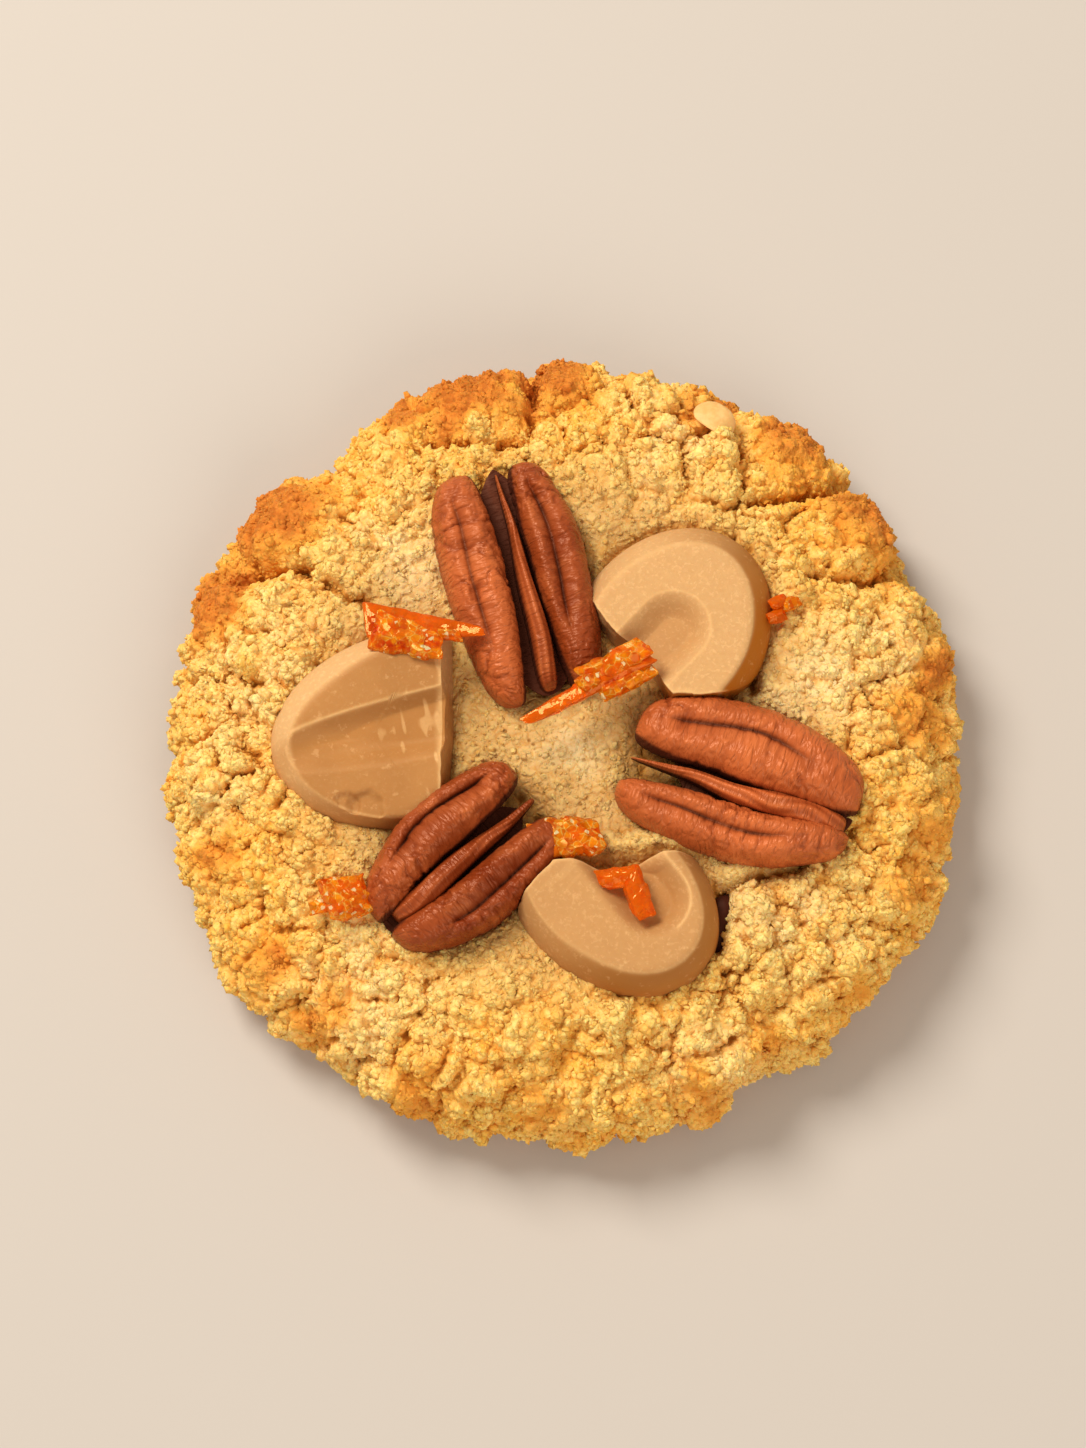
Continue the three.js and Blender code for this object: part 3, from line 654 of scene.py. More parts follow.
def buttonShape(piece):
    # a section carried round the oval from the core: flat top, crisp shoulder and sloping side; where a
    # break lies nearer than the oval it stops there at an upright wall; a channel is pressed into the top
    share, angle, faces, edge = discGrid(button['steps'])
    cosine, sine = np.cos(angle), np.sin(angle)
    height, seed = button['height'], piece['seed']
    oval, broken = buttonReach(piece, angle)
    path, run = curveThrough([(out * 10, up * height) for out, up in button['section']])
    flatShare, topShare = button['flatShare'], button['topShare']
    widened = 1 + piece['widen'][1] * np.cos(angle - math.radians(piece['widen'][0]))
    span = piece['bevel'] * widened * (1 - flatShare) / (1 - button['shoulder'])
    flat = oval - span
    sharp = piece['corner']
    cutAt = np.where(broken > flat, 1 - (oval - broken) / span * (1 - flatShare), flatShare * broken / flat)
    stop = -np.log(np.exp(-sharp) + np.exp(-sharp * cutAt)) / sharp
    stopRun = np.interp(stop * 10, path[:, 0], run)
    along = np.clip(share / topShare, 0, 1) * stopRun
    below = np.clip((share - topShare) / (1 - topShare), 0, 1)
    out = np.interp(along, run, path[:, 0]) / 10
    z = np.interp(along, run, path[:, 1]) * (1 - below)
    snapped = step(oval - broken, 0.2, 0.8)
    reach = np.where(out > flatShare, oval - span * (1 - out) / (1 - flatShare), flat * out / flatShare)
    reach = reach + below * lerp(-button['tuck'], piece['lean'], snapped)
    x = piece['core'][0] + reach * cosine
    y = piece['core'][1] + reach * sine

    bendX, bendY, halfWide, bendLength, bendTurn = piece['scoop']
    ahead, aside = flatLocal(x, y, {'at': (bendX, bendY), 'turn': bendTurn})
    beside = np.hypot(np.maximum(ahead, 0) / bendLength * halfWide, aside)
    soft = step(aside * piece['softSide'], -0.3, 0.3)
    deepest, wall = piece['dent']
    low, high = halfWide - wall - soft * 0.5, halfWide + soft * 0.5
    straight = np.clip((high - beside) / (high - low), 0, 1)
    sunk = lerp(step(beside, high, low), straight, button['crispness'] * (1 - soft))
    depth = deepest * sunk

    # broken walls are uneven, and go in where the channel meets them
    torn = layeredNoise(columns(x, y, z), button['tearSize'], seed, 4)
    pull = snapped * step(along, stopRun - 0.6, stopRun) * button['tearing'] * torn
    pull = pull - snapped * step(along, stopRun - 3.0, stopRun) * piece['bite'] * sunk
    x = x + pull * cosine
    y = y + pull * sine
    for chipX, chipY, size, deep in piece['chips']:
        spot = warped(columns(x, y, 0), 1.5, 0.7, seed + 3)
        depth = depth + deep * step(np.hypot(spot[:, 0] - chipX, spot[:, 1] - chipY), size, size * 0.55)
    land = step(z, height * 0.93, height * 0.99)
    z = np.minimum(z, height - depth)
    uneven = button['unevenness'] * layeredNoise(columns(x, y, z), button['lumpSize'], seed + 1, 3)
    points = columns(x, y, z - height / 2 + uneven)

    # how light the edges and faces are: painted highlights on the shoulder, along the channel's edge and at
    # the broken top edges, with wear streaks near the breaks; the sides are painted lighter towards the lamp
    # and deeper away from it; the top's paleness is bloom
    onLand, inScoop, onSide, farSideShade = piece['tones']
    lit = 0.5 + 0.5 * np.cos(angle + math.radians(piece['turn'] - button['lampWay']))
    onSide = lerp(-farSideShade, onSide, lit)
    shoulder = bell((out - button['shoulder']) * oval / 0.2)
    lipHighlight = bell((beside - high) / 0.16) * land * (1 - soft)
    breakHighlight = bell((along - stopRun) / 0.2) * snapped * (below < 0.02)
    streak = softNoise(columns(x * 1.8, y * 0.5, 0), 1.0, seed + 2)
    worn = piece['worn'] * step(streak, 0.3, 0.6) * step(along, stopRun - 4.5, stopRun - 1.0) * snapped
    return closedBelow(points, faces, edge, dict(
        crest=np.clip(0.5 * shoulder + lipHighlight + breakHighlight + 0.7 * worn * (below < 0.02), 0, 1),
        pale=lerp(lerp(onSide, onLand, land), inScoop, sunk)))


def chocolateFinish():
    # satin caramel chocolate, paler and grainier where bloomed, with painted light on the sides that face
    # the lamp and painted shade on the far sides, painted highlights and light wear along edges, with a soft
    # glow
    material, shader, flow = newFinish(
        'caramelChocolate', IOR=1.45, Specular_IOR_Level=0.3, Specular_Tint=(1.0, 0.75, 0.5, 1),
        Subsurface_Weight=0.18, Subsurface_Radius=(1.0, 0.45, 0.2), Subsurface_Scale=1.6 * mm)
    place = flow.place()
    pale, crest = flow.value('pale'), flow.value('crest')
    cloud = flow.noise(place, 140, 2)
    grain = flow.noise(place, 1900, 2, 0.6)
    scuff = flow.noise(place, 900, 3, 0.7)
    worm = flow.noise(flow.shifted(place, 1500, 0.0006), 2100, 2, 0.6)
    colour = flow.painted(
        (0.36, 0.145, 0.034),
        (cloud.within(0.3, 0.7), (0.41, 0.172, 0.043)),
        # painted shade: the sides turned away from the lamp are deeper
        ((0 - pale).within(-0.1, 0.8), (0.42, 0.125, 0.008)),
        # bloom, and on the sides painted light towards the lamp
        (pale * (0.75 + 0.4 * grain), (0.63, 0.365, 0.152)),
        (scuff.within(0.58, 0.7) * 0.3, (0.72, 0.42, 0.18)),
        (worm.within(0.54, 0.66) * pale * 0.35, (0.80, 0.50, 0.23)),
        # painted highlights along the shoulder, the channel's edge and the broken top edges, and wear near
        # the breaks
        (crest * (0.25 + 0.6 * scuff), (0.78, 0.48, 0.20)))
    rough = 0.42 + 0.2 * pale + 0.1 * grain
    relief = flow.bump(worm * (0.3 + 0.9 * pale) + 0.6 * scuff, 0.08 * mm, 0.6)
    feed(shader, Base_Color=colour, Roughness=rough, Normal=relief)
    return material


# Splinters of clear amber brittle, each of a few lumps

def hull(size, taper, seed, shift=(0, 0, 0), turn=0, yellow=0.0):
    # one lump: it thins to +X by the taper, or to -X by a negative one, and is yellow where it is crumbled
    return dict(size=size, taper=taper, seed=seed, shift=shift, turn=turn, yellow=yellow)


brittle = dict(
    pieces=dict(
        wedge=dict(at=(-15.3, 10.4, 20.8), turn=-8, tilt=(0, -6), hulls=(
            hull((14.6, 5.6, 3.2), 0.7, 3),
            hull((9.0, 5.2, 2.6), 0.2, 31, (-1.6, -1.9, 0.6), -12, 0.55),
            hull((2.8, 1.6, 1.4), 0.2, 46, (3.0, -0.9, 0.7), 0, 1.0))),
        long=dict(at=(2.4, 3.3, 20.4), turn=29, hulls=(
            hull((17.2, 3.4, 2.6), -0.6, 5),
            hull((8.8, 3.6, 3.2), 0.1, 8, (4.2, 0.9, 0.2), 0, 0.6),
            hull((2.8, 2.2, 1.8), 0.1, 49, (0.6, 0.5, 0.8), 0, 1.0),
            hull((7.0, 2.4, 2.2), 0.1, 34, (4.4, -1.4, -0.2), 0, 0.9))),
        crumb=dict(at=(24.2, 13.5, 16.8), turn=20, hulls=(
            hull((2.4, 2.2, 2.2), 0.1, 11, (-1.0, -0.7, 0)),
            hull((2.3, 2.0, 2.0), 0.1, 37, (-0.2, 0.8, 0.2)),
            hull((2.4, 1.8, 1.8), 0.1, 40, (1.2, 0.1, 0), 0, 0.6))),
        crystal=dict(at=(1.2, -12.8, 18.0), turn=4, hulls=(
            hull((6.4, 5.8, 4.6), 0.15, 14, (0, 0, 0), 0, 0.8),
            hull((3.6, 2.6, 0.9), -0.5, 43, (-3.6, 0.8, 0.6), -14, 0.8))),
        bent=dict(at=(6.9, -18.3, 18.9), turn=0, hulls=(
            hull((5.4, 3.2, 2.6), 0.1, 19, (-0.9, 1.0, 0.1), 8),
            hull((6.4, 3.2, 2.6), 0.1, 22, (1.0, -1.0, 0), -72))),
        corner=dict(at=(-23.7, -19.3, 18.1), turn=12, hulls=(
            hull((5.6, 6.0, 4.6), 0.1, 25, (0, 0, 0), 0, 0.5),
            hull((3.4, 1.9, 1.7), 0.2, 28, (-2.8, -0.4, -0.6), 0, 1.0)))),
    steps=(110, 80), corners=15, leastReach=0.72, edgeSharpness=26, pitting=0.06,
    pitSize=0.9, chipping=0.4, chipSize=1.4, chipTilt=1.6,
)


def hullCorners(lump):
    # corners on a spiral along X, nearer the axis towards the thin end
    index = np.arange(brittle['corners'])
    along = index / (brittle['corners'] - 1) * 2 - 1
    thin = 1 - abs(lump['taper']) * (1 + np.sign(lump['taper']) * along) / 2
    angle = index * math.pi * (3 - math.sqrt(5)) + scatter(index, lump['seed'])
    reach = thin * lerp(brittle['leastReach'], 1, scatter(index, lump['seed'] + 1)) / 2
    length, width, height = lump['size']
    return columns(along / 2 * length, np.cos(angle) * width * reach, np.sin(angle) * height * reach)


def hullPlanes(corners):
    # every plane through three corners that leaves all the others on one side of it
    trios = np.array(list(itertools.combinations(range(len(corners)), 3)))
    p, q, r = corners[trios.T]
    normal = np.cross(q - p, r - p)
    normal /= lengths(normal)[:, None]
    beyond = normal @ corners.T - (normal * p).sum(axis=1)[:, None]
    outer = (beyond < 1e-6).all(axis=1)
    inner = (beyond > -1e-6).all(axis=1)
    normal = np.vstack([normal[outer], -normal[inner]])
    return normal, (normal * np.vstack([p[outer], p[inner]])).sum(axis=1)


def shard(lump):
    # distance out to the nearest of the hull's planes in each direction, with edges slightly rounded
    seed = lump['seed']
    corners = hullCorners(lump)
    middle = corners.mean(axis=0)
    normal, distance = hullPlanes(corners - middle)
    along, girth, angle, faces = ballGrid(*brittle['steps'])
    way = columns(along, girth * np.cos(angle), girth * np.sin(angle)) * np.array(lump['size'])
    way /= lengths(way)[:, None]
    facing = np.maximum(way @ normal.T, 0) / distance
    power = brittle['edgeSharpness']
    reach = 1 / (facing ** power).sum(axis=1) ** (1 / power)
    edge = 1 - np.sort(facing, axis=1)[:, -2] / facing.max(axis=1)
    points = way * reach[:, None]
    pits = layeredNoise(points + seed, brittle['pitSize'], seed, 3)
    near, second, chip = cellNoise(points + seed, brittle['chipSize'], seed + 9, brittle['chipTilt'])
    chipped = brittle['chipping'] * (0.7 + 0.8 * lump['yellow']) * (chip - 0.5) * np.minimum(reach / 2, 1)
    rough = brittle['pitting'] * pits + chipped
    # where the painted edge highlight falls: near the hull's edges and, fainter, along the borders of chips
    edge = np.maximum(step(edge, 0.25, 0.02), 0.6 * step(second - near, 0.2, 0.04))
    points = placed(points + way * rough[:, None] + middle, lump['shift'], lump['turn'])
    return points, faces, {'edge': edge, 'yellow': np.full(len(points), lump['yellow'])}


def shardShape(piece):
    # all its lumps as one
    return joined([shard(lump) for lump in piece['hulls']])


def brittleFinish():
    # clear hard caramel of changing depth: each facet has its own slope, the crumbled parts are yellower,
    # with many small facets; painted highlights make the thin edges yellow, draw light lines between some
    # facets and a few near-white glints; a faint glow, painted light, stands for the light that goes through
    material, shader, flow = newFinish(
        'amberBrittle', Transmission_Weight=0.5, IOR=1.5, Specular_IOR_Level=0.5,
        Specular_Tint=(1.0, 0.6, 0.2, 1), Emission_Strength=0.06)
    broken = flow.shifted(flow.place(), 500, 0.0006)
    depth = flow.noise(broken, 420, 3, 0.6)
    glow = flow.noise(broken, 950, 3, 0.6)
    small = flow.cellNumber(broken, 1150)
    glintCells = flow.cellNumber(broken, 2400)
    edge, yellow = flow.value('edge'), flow.value('yellow')
    crumbled = yellow.within(0.1, 0.6)
    line = (1 - flow.seams(broken, 1150).within(0.0, 0.08)) * glow.within(0.4, 0.6)
    colour = flow.painted(
        (0.55, 0.020, 0.0001),
        (depth.within(0.35, 0.65), (0.86, 0.066, 0.0002)),
        (glow.within(0.42, 0.68) * (0.05 + 0.9 * crumbled), (1.0, 0.360, 0.004)),
        (small.within(0.5, 1.0) * (0.05 + 0.3 * crumbled), (1.0, 0.480, 0.008)),
        # painted highlight: thin edges and the borders of chips are lighter
        (edge * 0.35, (1.0, 0.280, 0.003)),
        # painted highlights: light lines along some facet borders
        (line * (0.08 + 0.6 * crumbled), (1.0, 0.740, 0.150)),
        # painted glints: a few near-white cells
        (glintCells.within(0.95, 0.96) * (0.03 + 0.9 * crumbled), (1.0, 0.920, 0.480)))
    rough = 0.08 + 0.2 * yellow * small
    steep = flow.facets(broken, 380) + flow.facets(broken, 1150) * (0.25 + 0.9 * yellow)
    relief = flow.bump(steep, 0.8 * mm)
    feed(shader, Base_Color=colour, Emission_Color=colour, Roughness=rough, Normal=relief)
    return material


# A pale nut flake on the far rim, and a dark chunk sunk in the gap beside the front button

flake = dict(at=(17.1, 36.4, 14.9), turn=-35, tilt=(-24, 0), size=(5.2, 4.0, 1.1), bow=0.12, waviness=0.12,
             steps=(60, 60))
chunk = dict(at=(17.5, -21.8, 12.0), turn=95, size=(8.0, 4.6, 4.0), reach=0.44, steps=(90, 72))


def addFlake():
    # a thin oval ball, bowed along its length, with a wavy rim
    along, girth, angle, faces = ballGrid(*flake['steps'])
    ball = columns(along, girth * np.cos(angle), girth * np.sin(angle))
    points = ball * np.array(flake['size']) / 2
    points[:, 2] -= flake['bow'] * flake['size'][0] * along ** 2
    points += flake['waviness'] * layeredNoise(points, 1.6, 71)[:, None] * ball
    material, shader, flow = newFinish('rawNut', Subsurface_Weight=0.2, Subsurface_Scale=0.8 * mm)
    streak = flow.noise(flow.place(), 900, 3, 0.6)
    colour = flow.mix(streak.within(0.35, 0.7), (0.76, 0.41, 0.118), (0.83, 0.52, 0.190))
    feed(shader, Base_Color=colour, Roughness=0.45 + 0.3 * streak, Normal=flow.bump(streak, 0.1 * mm, 0.5))
    points = placed(points, flake['at'], flake['turn'], flake['tilt'])
    addPiece('nutFlake', points, faces, material, 'nut_flake')


def addChunk():
    # an uneven lump: a ball whose reach changes with two waves and noise
    along, girth, angle, faces = ballGrid(*chunk['steps'])
    x, y, z = along, girth * np.cos(angle), girth * np.sin(angle)
    ball = columns(x, y, z)
    uneven = chunk['reach'] + 0.06 * np.sin(3 * x + 2 * y) + 0.05 * np.sin(4 * z - x)
    uneven = uneven + 0.035 * layeredNoise(ball, 0.6, 81)
    points = ball * np.array(chunk['size']) * uneven[:, None]
    material, shader, flow = newFinish('darkChocolate', IOR=1.45, Specular_IOR_Level=0.2,
                                       Specular_Tint=(1.0, 0.6, 0.4, 1))
    cloud = flow.noise(flow.place(), 300, 3)
    colour = flow.mix(cloud, (0.030, 0.007, 0.004), (0.070, 0.017, 0.010))
    feed(shader, Base_Color=colour, Roughness=0.35 + 0.3 * cloud, Normal=flow.bump(cloud, 0.3 * mm, 0.6))
    points = placed(points, chunk['at'], chunk['turn'])
    addPiece('darkChunk', points, faces, material, 'dark_chunk')


# The dough: a craggy, cracked and granular sheet over a round section, closed by a flat base

dough = dict(
    radius=45, height=15.5, steps=300, rimCrowding=0.8, rimFrom=(23, 37), settleHeight=3, bluntness=0.5,
    blockSize=6.5, lumpSize=2.7, grainSize=1.3, crackWidth=0.65, fineBlur=10, wideBlur=70,
    swell=(31, 27, 0.35),                           # lengths along X and Y, height
    bends=((3.6, 1.0, 201), (1.3, 0.45, 211)),      # size, reach, seed
    section=((0, 0.98), (0.27, 0.99), (0.53, 1.01), (0.73, 1.0), (0.88, 0.84), (0.97, 0.57), (1.0, 0.32),
             (0.98, 0.1), (0.955, 0)),
    # degrees round, half width in degrees, depth
    notches=((129, 9, 2.4), (28, 8, 1.0), (300, 7, 1.2), (212, 20, -1.2)),
    # degrees round, distance along the section, half width, rise
    crags=((91, 43.5, 3.8, 2.0), (100, 42, 4.4, 1.9), (108, 43, 4.6, 1.9), (119, 42, 4.0, 1.4),
           (143, 42.5, 5.6, 2.4), (139, 39.5, 3.4, 1.6), (159, 45, 4.2, 1.3), (189, 39.5, 4.6, 1.3),
           (216, 44, 4.0, 1.2), (233, 44, 4.2, 1.3), (247, 44, 4.8, 1.7), (267, 43, 4.2, 0.6),
           (292, 44, 4.4, 1.5), (321, 43.5, 4.4, 1.3), (334, 43, 4.6, 1.4), (347, 42.5, 5.2, 1.7),
           (22, 42.5, 3.6, 1.1), (36, 42.2, 6.0, 2.5), (53, 44, 5.8, 2.4), (62, 42.2, 3.4, 1.3),
           (79, 44, 3.4, 1.2)),
    # rows of clumps: distance along the section, number
    clumpRows=((36, 26), (40.5, 30), (45, 33), (49, 35), (52.5, 35)),
    clump=dict(halfWidth=3.6, rise=0.6, leastRise=0.4, spread=0.4),
    # low heaps of crumb against the front button: place, half width, rise
    heaps=((2.4, -15.7, 3.0, 1.6), (5.3, -14.9, 2.6, 1.4), (8.4, -14.3, 2.6, 1.6), (11.2, -13.6, 2.8, 1.5),
           (19.6, -17.2, 2.6, 1.4), (20.6, -20.6, 2.8, 1.5), (20.2, -24.4, 2.8, 1.3)),
    # ends, half width, depth
    cracks=(((-15.4, 34.3), (-4.8, 34.3), 2.0, 1.9), ((-4.0, 43.5), (-4.0, 35.3), 1.9, 1.7),
            ((-38.5, 18.8), (-29.5, 18.6), 2.2, 2.2), ((-27.8, 16.6), (-22.7, 14.2), 1.9, 1.2),
            ((21.3, 26.7), (36.5, 30.2), 2.2, 2.1), ((28.1, 17.8), (36.5, 17.3), 2.0, 1.6),
            ((17.5, -18.6), (26.5, -15.9), 2.1, 1.7), ((18.4, -28.6), (17.3, -32.3), 1.9, 1.2),
            ((20.0, 35.5), (20.4, 28.5), 1.9, 1.3), ((17.6, -18.8), (17.2, -25.2), 2.2, 3.4),
            ((21.0, 6.8), (21.5, 4.4), 1.6, 1.5)),
    # pale, browned and lightly browned spots: place and size; the last pale spot is painted light that lifts
    # the shade between the toppings
    pale=((-35.5, 7.0, 8.0), (-24.5, -30.0, 9.0), (17.0, -39.0, 6.0), (29.6, 5.0, 7.0), (-19.6, 20.4, 6.0),
          (37.0, 8.0, 6.0), (25.0, -21.0, 7.0), (12.7, 34.0, 6.0), (-38.0, -5.0, 5.0), (0.5, -3.0, 3.6)),
    browned=((-2.0, 43.4, 6.2), (-11.4, 42.0, 7.6), (-19.0, 39.0, 4.0), (-34.4, 26.8, 7.4),
             (-40.0, 17.0, 5.0), (28.4, 38.0, 8.2), (38.0, 27.4, 8.6), (-42.5, 15.2, 4.5), (7.9, 44.0, 2.6),
             (17.8, 40.5, 5.0), (43.0, 8.0, 4.0)),
    gilded=((-16.7, -41.5, 5.0), (-34.5, -26.5, 4.5), (15.4, -41.0, 4.0), (-40.0, -14.0, 4.0),
            (32.0, -31.0, 4.0), (-4.0, -43.0, 5.0), (24.0, -36.0, 4.0), (-28.0, -33.0, 5.0),
            (40.0, -18.0, 5.0), (41.0, 2.0, 5.0), (43.5, -10.0, 6.0)),
)


def toppingGap(x, y):
    # distance on the table plane to the nearest topping's outline, negative under it
    gap = np.full(len(x), 99.0)
    for piece in pecan['pieces'].values():
        along, across = flatLocal(x, y, piece)
        share = np.hypot(along / piece['length'] * 2, across / piece['width'] * 2)
        gap = np.minimum(gap, (share - 1) * piece['width'] / 2)
    for piece in button['pieces'].values():
        along, across = flatLocal(x, y, piece)
        dx, dy = along - piece['core'][0], across - piece['core'][1]
        gap = np.minimum(gap, np.hypot(dx, dy) - np.minimum(*buttonReach(piece, np.arctan2(dy, dx))))
    return gap


def outlineShare(angle):
    # one, less the bites in the outline
    bite = np.zeros(len(angle))
    for middle, halfWidth, depth in dough['notches']:
        turn = (np.degrees(angle) - middle + 180) % 360 - 180
        bite += depth * bell(turn / halfWidth)
    return 1 - bite / dough['radius']


def doughSpot(path, run, along, angle):
    # place on the plain section at a distance along it and an angle round it
    out = np.interp(along, run, path[:, 0]) * outlineShare(angle)
    return columns(out * np.cos(angle), out * np.sin(angle), np.interp(along, run, path[:, 1]))


def doughLumps(path, run):
    # middles, half widths and rises of all crags and clumps
    rows = [np.array(dough['crags']) * np.array([math.pi / 180, 1, 1, 1])]
    clump = dough['clump']
    for row, (along, number) in enumerate(dough['clumpRows']):
        index = np.arange(number)
        angle = (index + clump['spread'] * scatter(index, row)) / number * 2 * math.pi
        size = 1 + clump['spread'] * (scatter(index, row + 10) - 0.5)
        rise = clump['rise'] * (clump['leastRise'] + scatter(index, row + 20))
        rows.append(columns(angle, along, clump['halfWidth'] * size, rise))
    angle, along, halfWidth, rise = np.vstack(rows).T
    return doughSpot(path, run, along, angle), halfWidth, rise


def doughDomes(path, run, bent):
    # the highest of all lumps and heaps at each point, each a blunt dome
    dome = np.zeros(len(bent))
    lumps = [(lengths(bent - middle) / halfWidth, rise)
             for middle, halfWidth, rise in zip(*doughLumps(path, run))]
    heaps = [(np.hypot(bent[:, 0] - x, bent[:, 1] - y) / halfWidth, rise)
             for x, y, halfWidth, rise in dough['heaps']]
    for near, rise in lumps + heaps:
        dome = np.maximum(dome, rise * np.clip(1 - near ** 2, 0, 1) ** dough['bluntness'])
    return dome


def doughCracks(flat):
    # the deepest of all cracks at each point: a wide trough and a narrow slit along a line between two ends
    crack = np.zeros(len(flat))
    for start, end, halfWidth, depth in dough['cracks']:
        way = np.array(end) - np.array(start)
        part = np.clip((flat - start) @ way / (way @ way), 0, 1)
        away = lengths(flat - start - part[:, None] * way)
        wide = np.clip(1 - (away / halfWidth) ** 2, 0, 1)
        crack = np.maximum(crack, depth * (0.5 * wide + bell(away / dough['crackWidth'])))
    return crack


def doughSpots(points, spots):
    # one at the middle of each spot, fading as a bell does with its size
    share = np.zeros(len(points))
    for x, y, reach in spots:
        away = (points[:, 0] - x) ** 2 + (points[:, 1] - y) ** 2
        share = np.maximum(share, np.exp(-away / reach ** 2))
    return share


def doughTan(spot, leanOut, dome):
    # how browned and how pale the crust is: spots that fade down the wall, and a light tan at the foot and
    # on steep faces, all broken up by noise
    browned, gilded, pale = [doughSpots(spot, dough[key]) for key in ('browned', 'gilded', 'pale')]
    browned = browned * lerp(0.2, 1, step(spot[:, 2], 0, 8))
    browned = np.maximum(browned, 0.48 * gilded) * lerp(0.8, 1.15, step(leanOut, 1.05, 0.5))
    browned = browned * step(layeredNoise(spot, 5.0, 601) + 0.35 * (dome - 0.8), -1.0, 0.15)
    tanned = np.maximum(step(spot[:, 2], 7, 1), step(leanOut, 0.7, 1.0))
    browned = np.maximum(browned, 0.34 * tanned * step(layeredNoise(spot, 6.0, 606), -0.5, 0.6))
    browned = browned + 1.2 * browned * (1 - browned) * layeredNoise(spot, 1.8, 608, 2)
    return browned, pale * step(layeredNoise(spot, 3.0, 611), -0.7, 0.4)


def doughShape():
    # the section's sheet, pushed out along its normal by domes and by blocks, lumps and grains, which are
    # facets at a slope, and in by cracks and creases
    share, angle, faces, edge = discGrid(dough['steps'])
    section = np.array(dough['section']) * np.array([dough['radius'], dough['height']])
    path, run = curveThrough(section)
    along = share ** dough['rimCrowding'] * run[-1]
    spot = doughSpot(path, run, along, angle)
    slope = np.gradient(path, run, axis=0)
    leanOut, leanUp = -np.interp(along, run, slope[:, 1]), np.interp(along, run, slope[:, 0])
    normal = columns(leanOut * np.cos(angle), leanOut * np.sin(angle), leanUp)
    rim = step(along, *dough['rimFrom'])
    bent = spot
    for bend in dough['bends']:
        bent = warped(bent, *bend)
    dome = doughDomes(path, run, bent)
    browned, pale = doughTan(spot, leanOut, dome)

    # blocks, lumps and grains
    near, second, block = cellNoise(bent, dough['blockSize'], 301, 1.2)
    crease = bell((second - near) / 0.6) * rim * step(layeredNoise(spot, 14.0, 305), -0.4, 0.3)
    craggy = (block - 0.5) * (0.2 + 1.2 * rim) + step(second - near, 0, 1.6) * 0.85 * rim
    near, second, lump = cellNoise(warped(spot, 1.6, 0.7, 401), dough['lumpSize'], 402, 1.4)
    craggy = craggy + (lump - 0.5) * (0.2 + 0.5 * rim) + step(second - near, 0, 0.8) * (0.1 + 0.5 * rim)
    near, second, grain = cellNoise(warped(spot, 0.9, 0.3, 501), dough['grainSize'], 502, 1.2)
    craggy = craggy + (grain - 0.5) * 0.2 + step(second - near, 0, 0.5) * (0.08 + 0.12 * rim) - 0.8 * rim
    rough = 1 - 0.7 * browned    # browned crust is smoother
    lengthX, lengthY, height = dough['swell']
    wave = height * np.sin(2 * math.pi * spot[:, 0] / lengthX) * np.sin(2 * math.pi * spot[:, 1] / lengthY)

    # a bed under each topping and a dip round it
    gap = toppingGap(spot[:, 0], spot[:, 1])
    under = step(gap, 0.2, -1.2)
    moat = bell((gap - 0.1) / 0.5)
    relief = (dome + wave - doughCracks(bent[:, :2]) - 0.9 * crease + rough * craggy
              - 1.6 * under - 0.5 * moat - 0.4 * step(gap, 2.5, 0.0))
    settle = step(spot[:, 2], 0, dough['settleHeight'])
    points = spot + normal * (relief * settle)[:, None]

    # fitted to the solid's length and width
    low, high = [np.array(corner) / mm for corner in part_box('dough')]
    flat = points[:, :2]
    size = flat.max(axis=0) - flat.min(axis=0)
    points[:, :2] = (flat - flat.min(axis=0)) / size * (high - low)[:2] + low[:2]

    # hollows lie below the blurred relief, knobs above it: painted shade darkens hollows, cracks, the beds
    # and dips round the toppings and the dough near them, and the tone paints light on knobs and shade in
    # hollows
    fine = relief - smoothed(relief, dough['fineBlur'])
    wide = relief - smoothed(relief, dough['wideBlur'])
    paintedShade = (0.6 * step(-fine, 0.06, 0.4) + step(-wide, 0.4, 1.6) + 0.25 * moat + 0.3 * under
              + 0.14 * step(gap, 2.4, 0.0))
    return closedBelow(points, faces, edge, dict(
        browned=np.clip(browned, 0, 1), pale=pale, rim=rim, cavityShade=np.clip(paintedShade, 0, 1),
        tone=np.clip(0.5 + 0.9 * fine + 0.2 * wide, 0, 1), gap=gap))


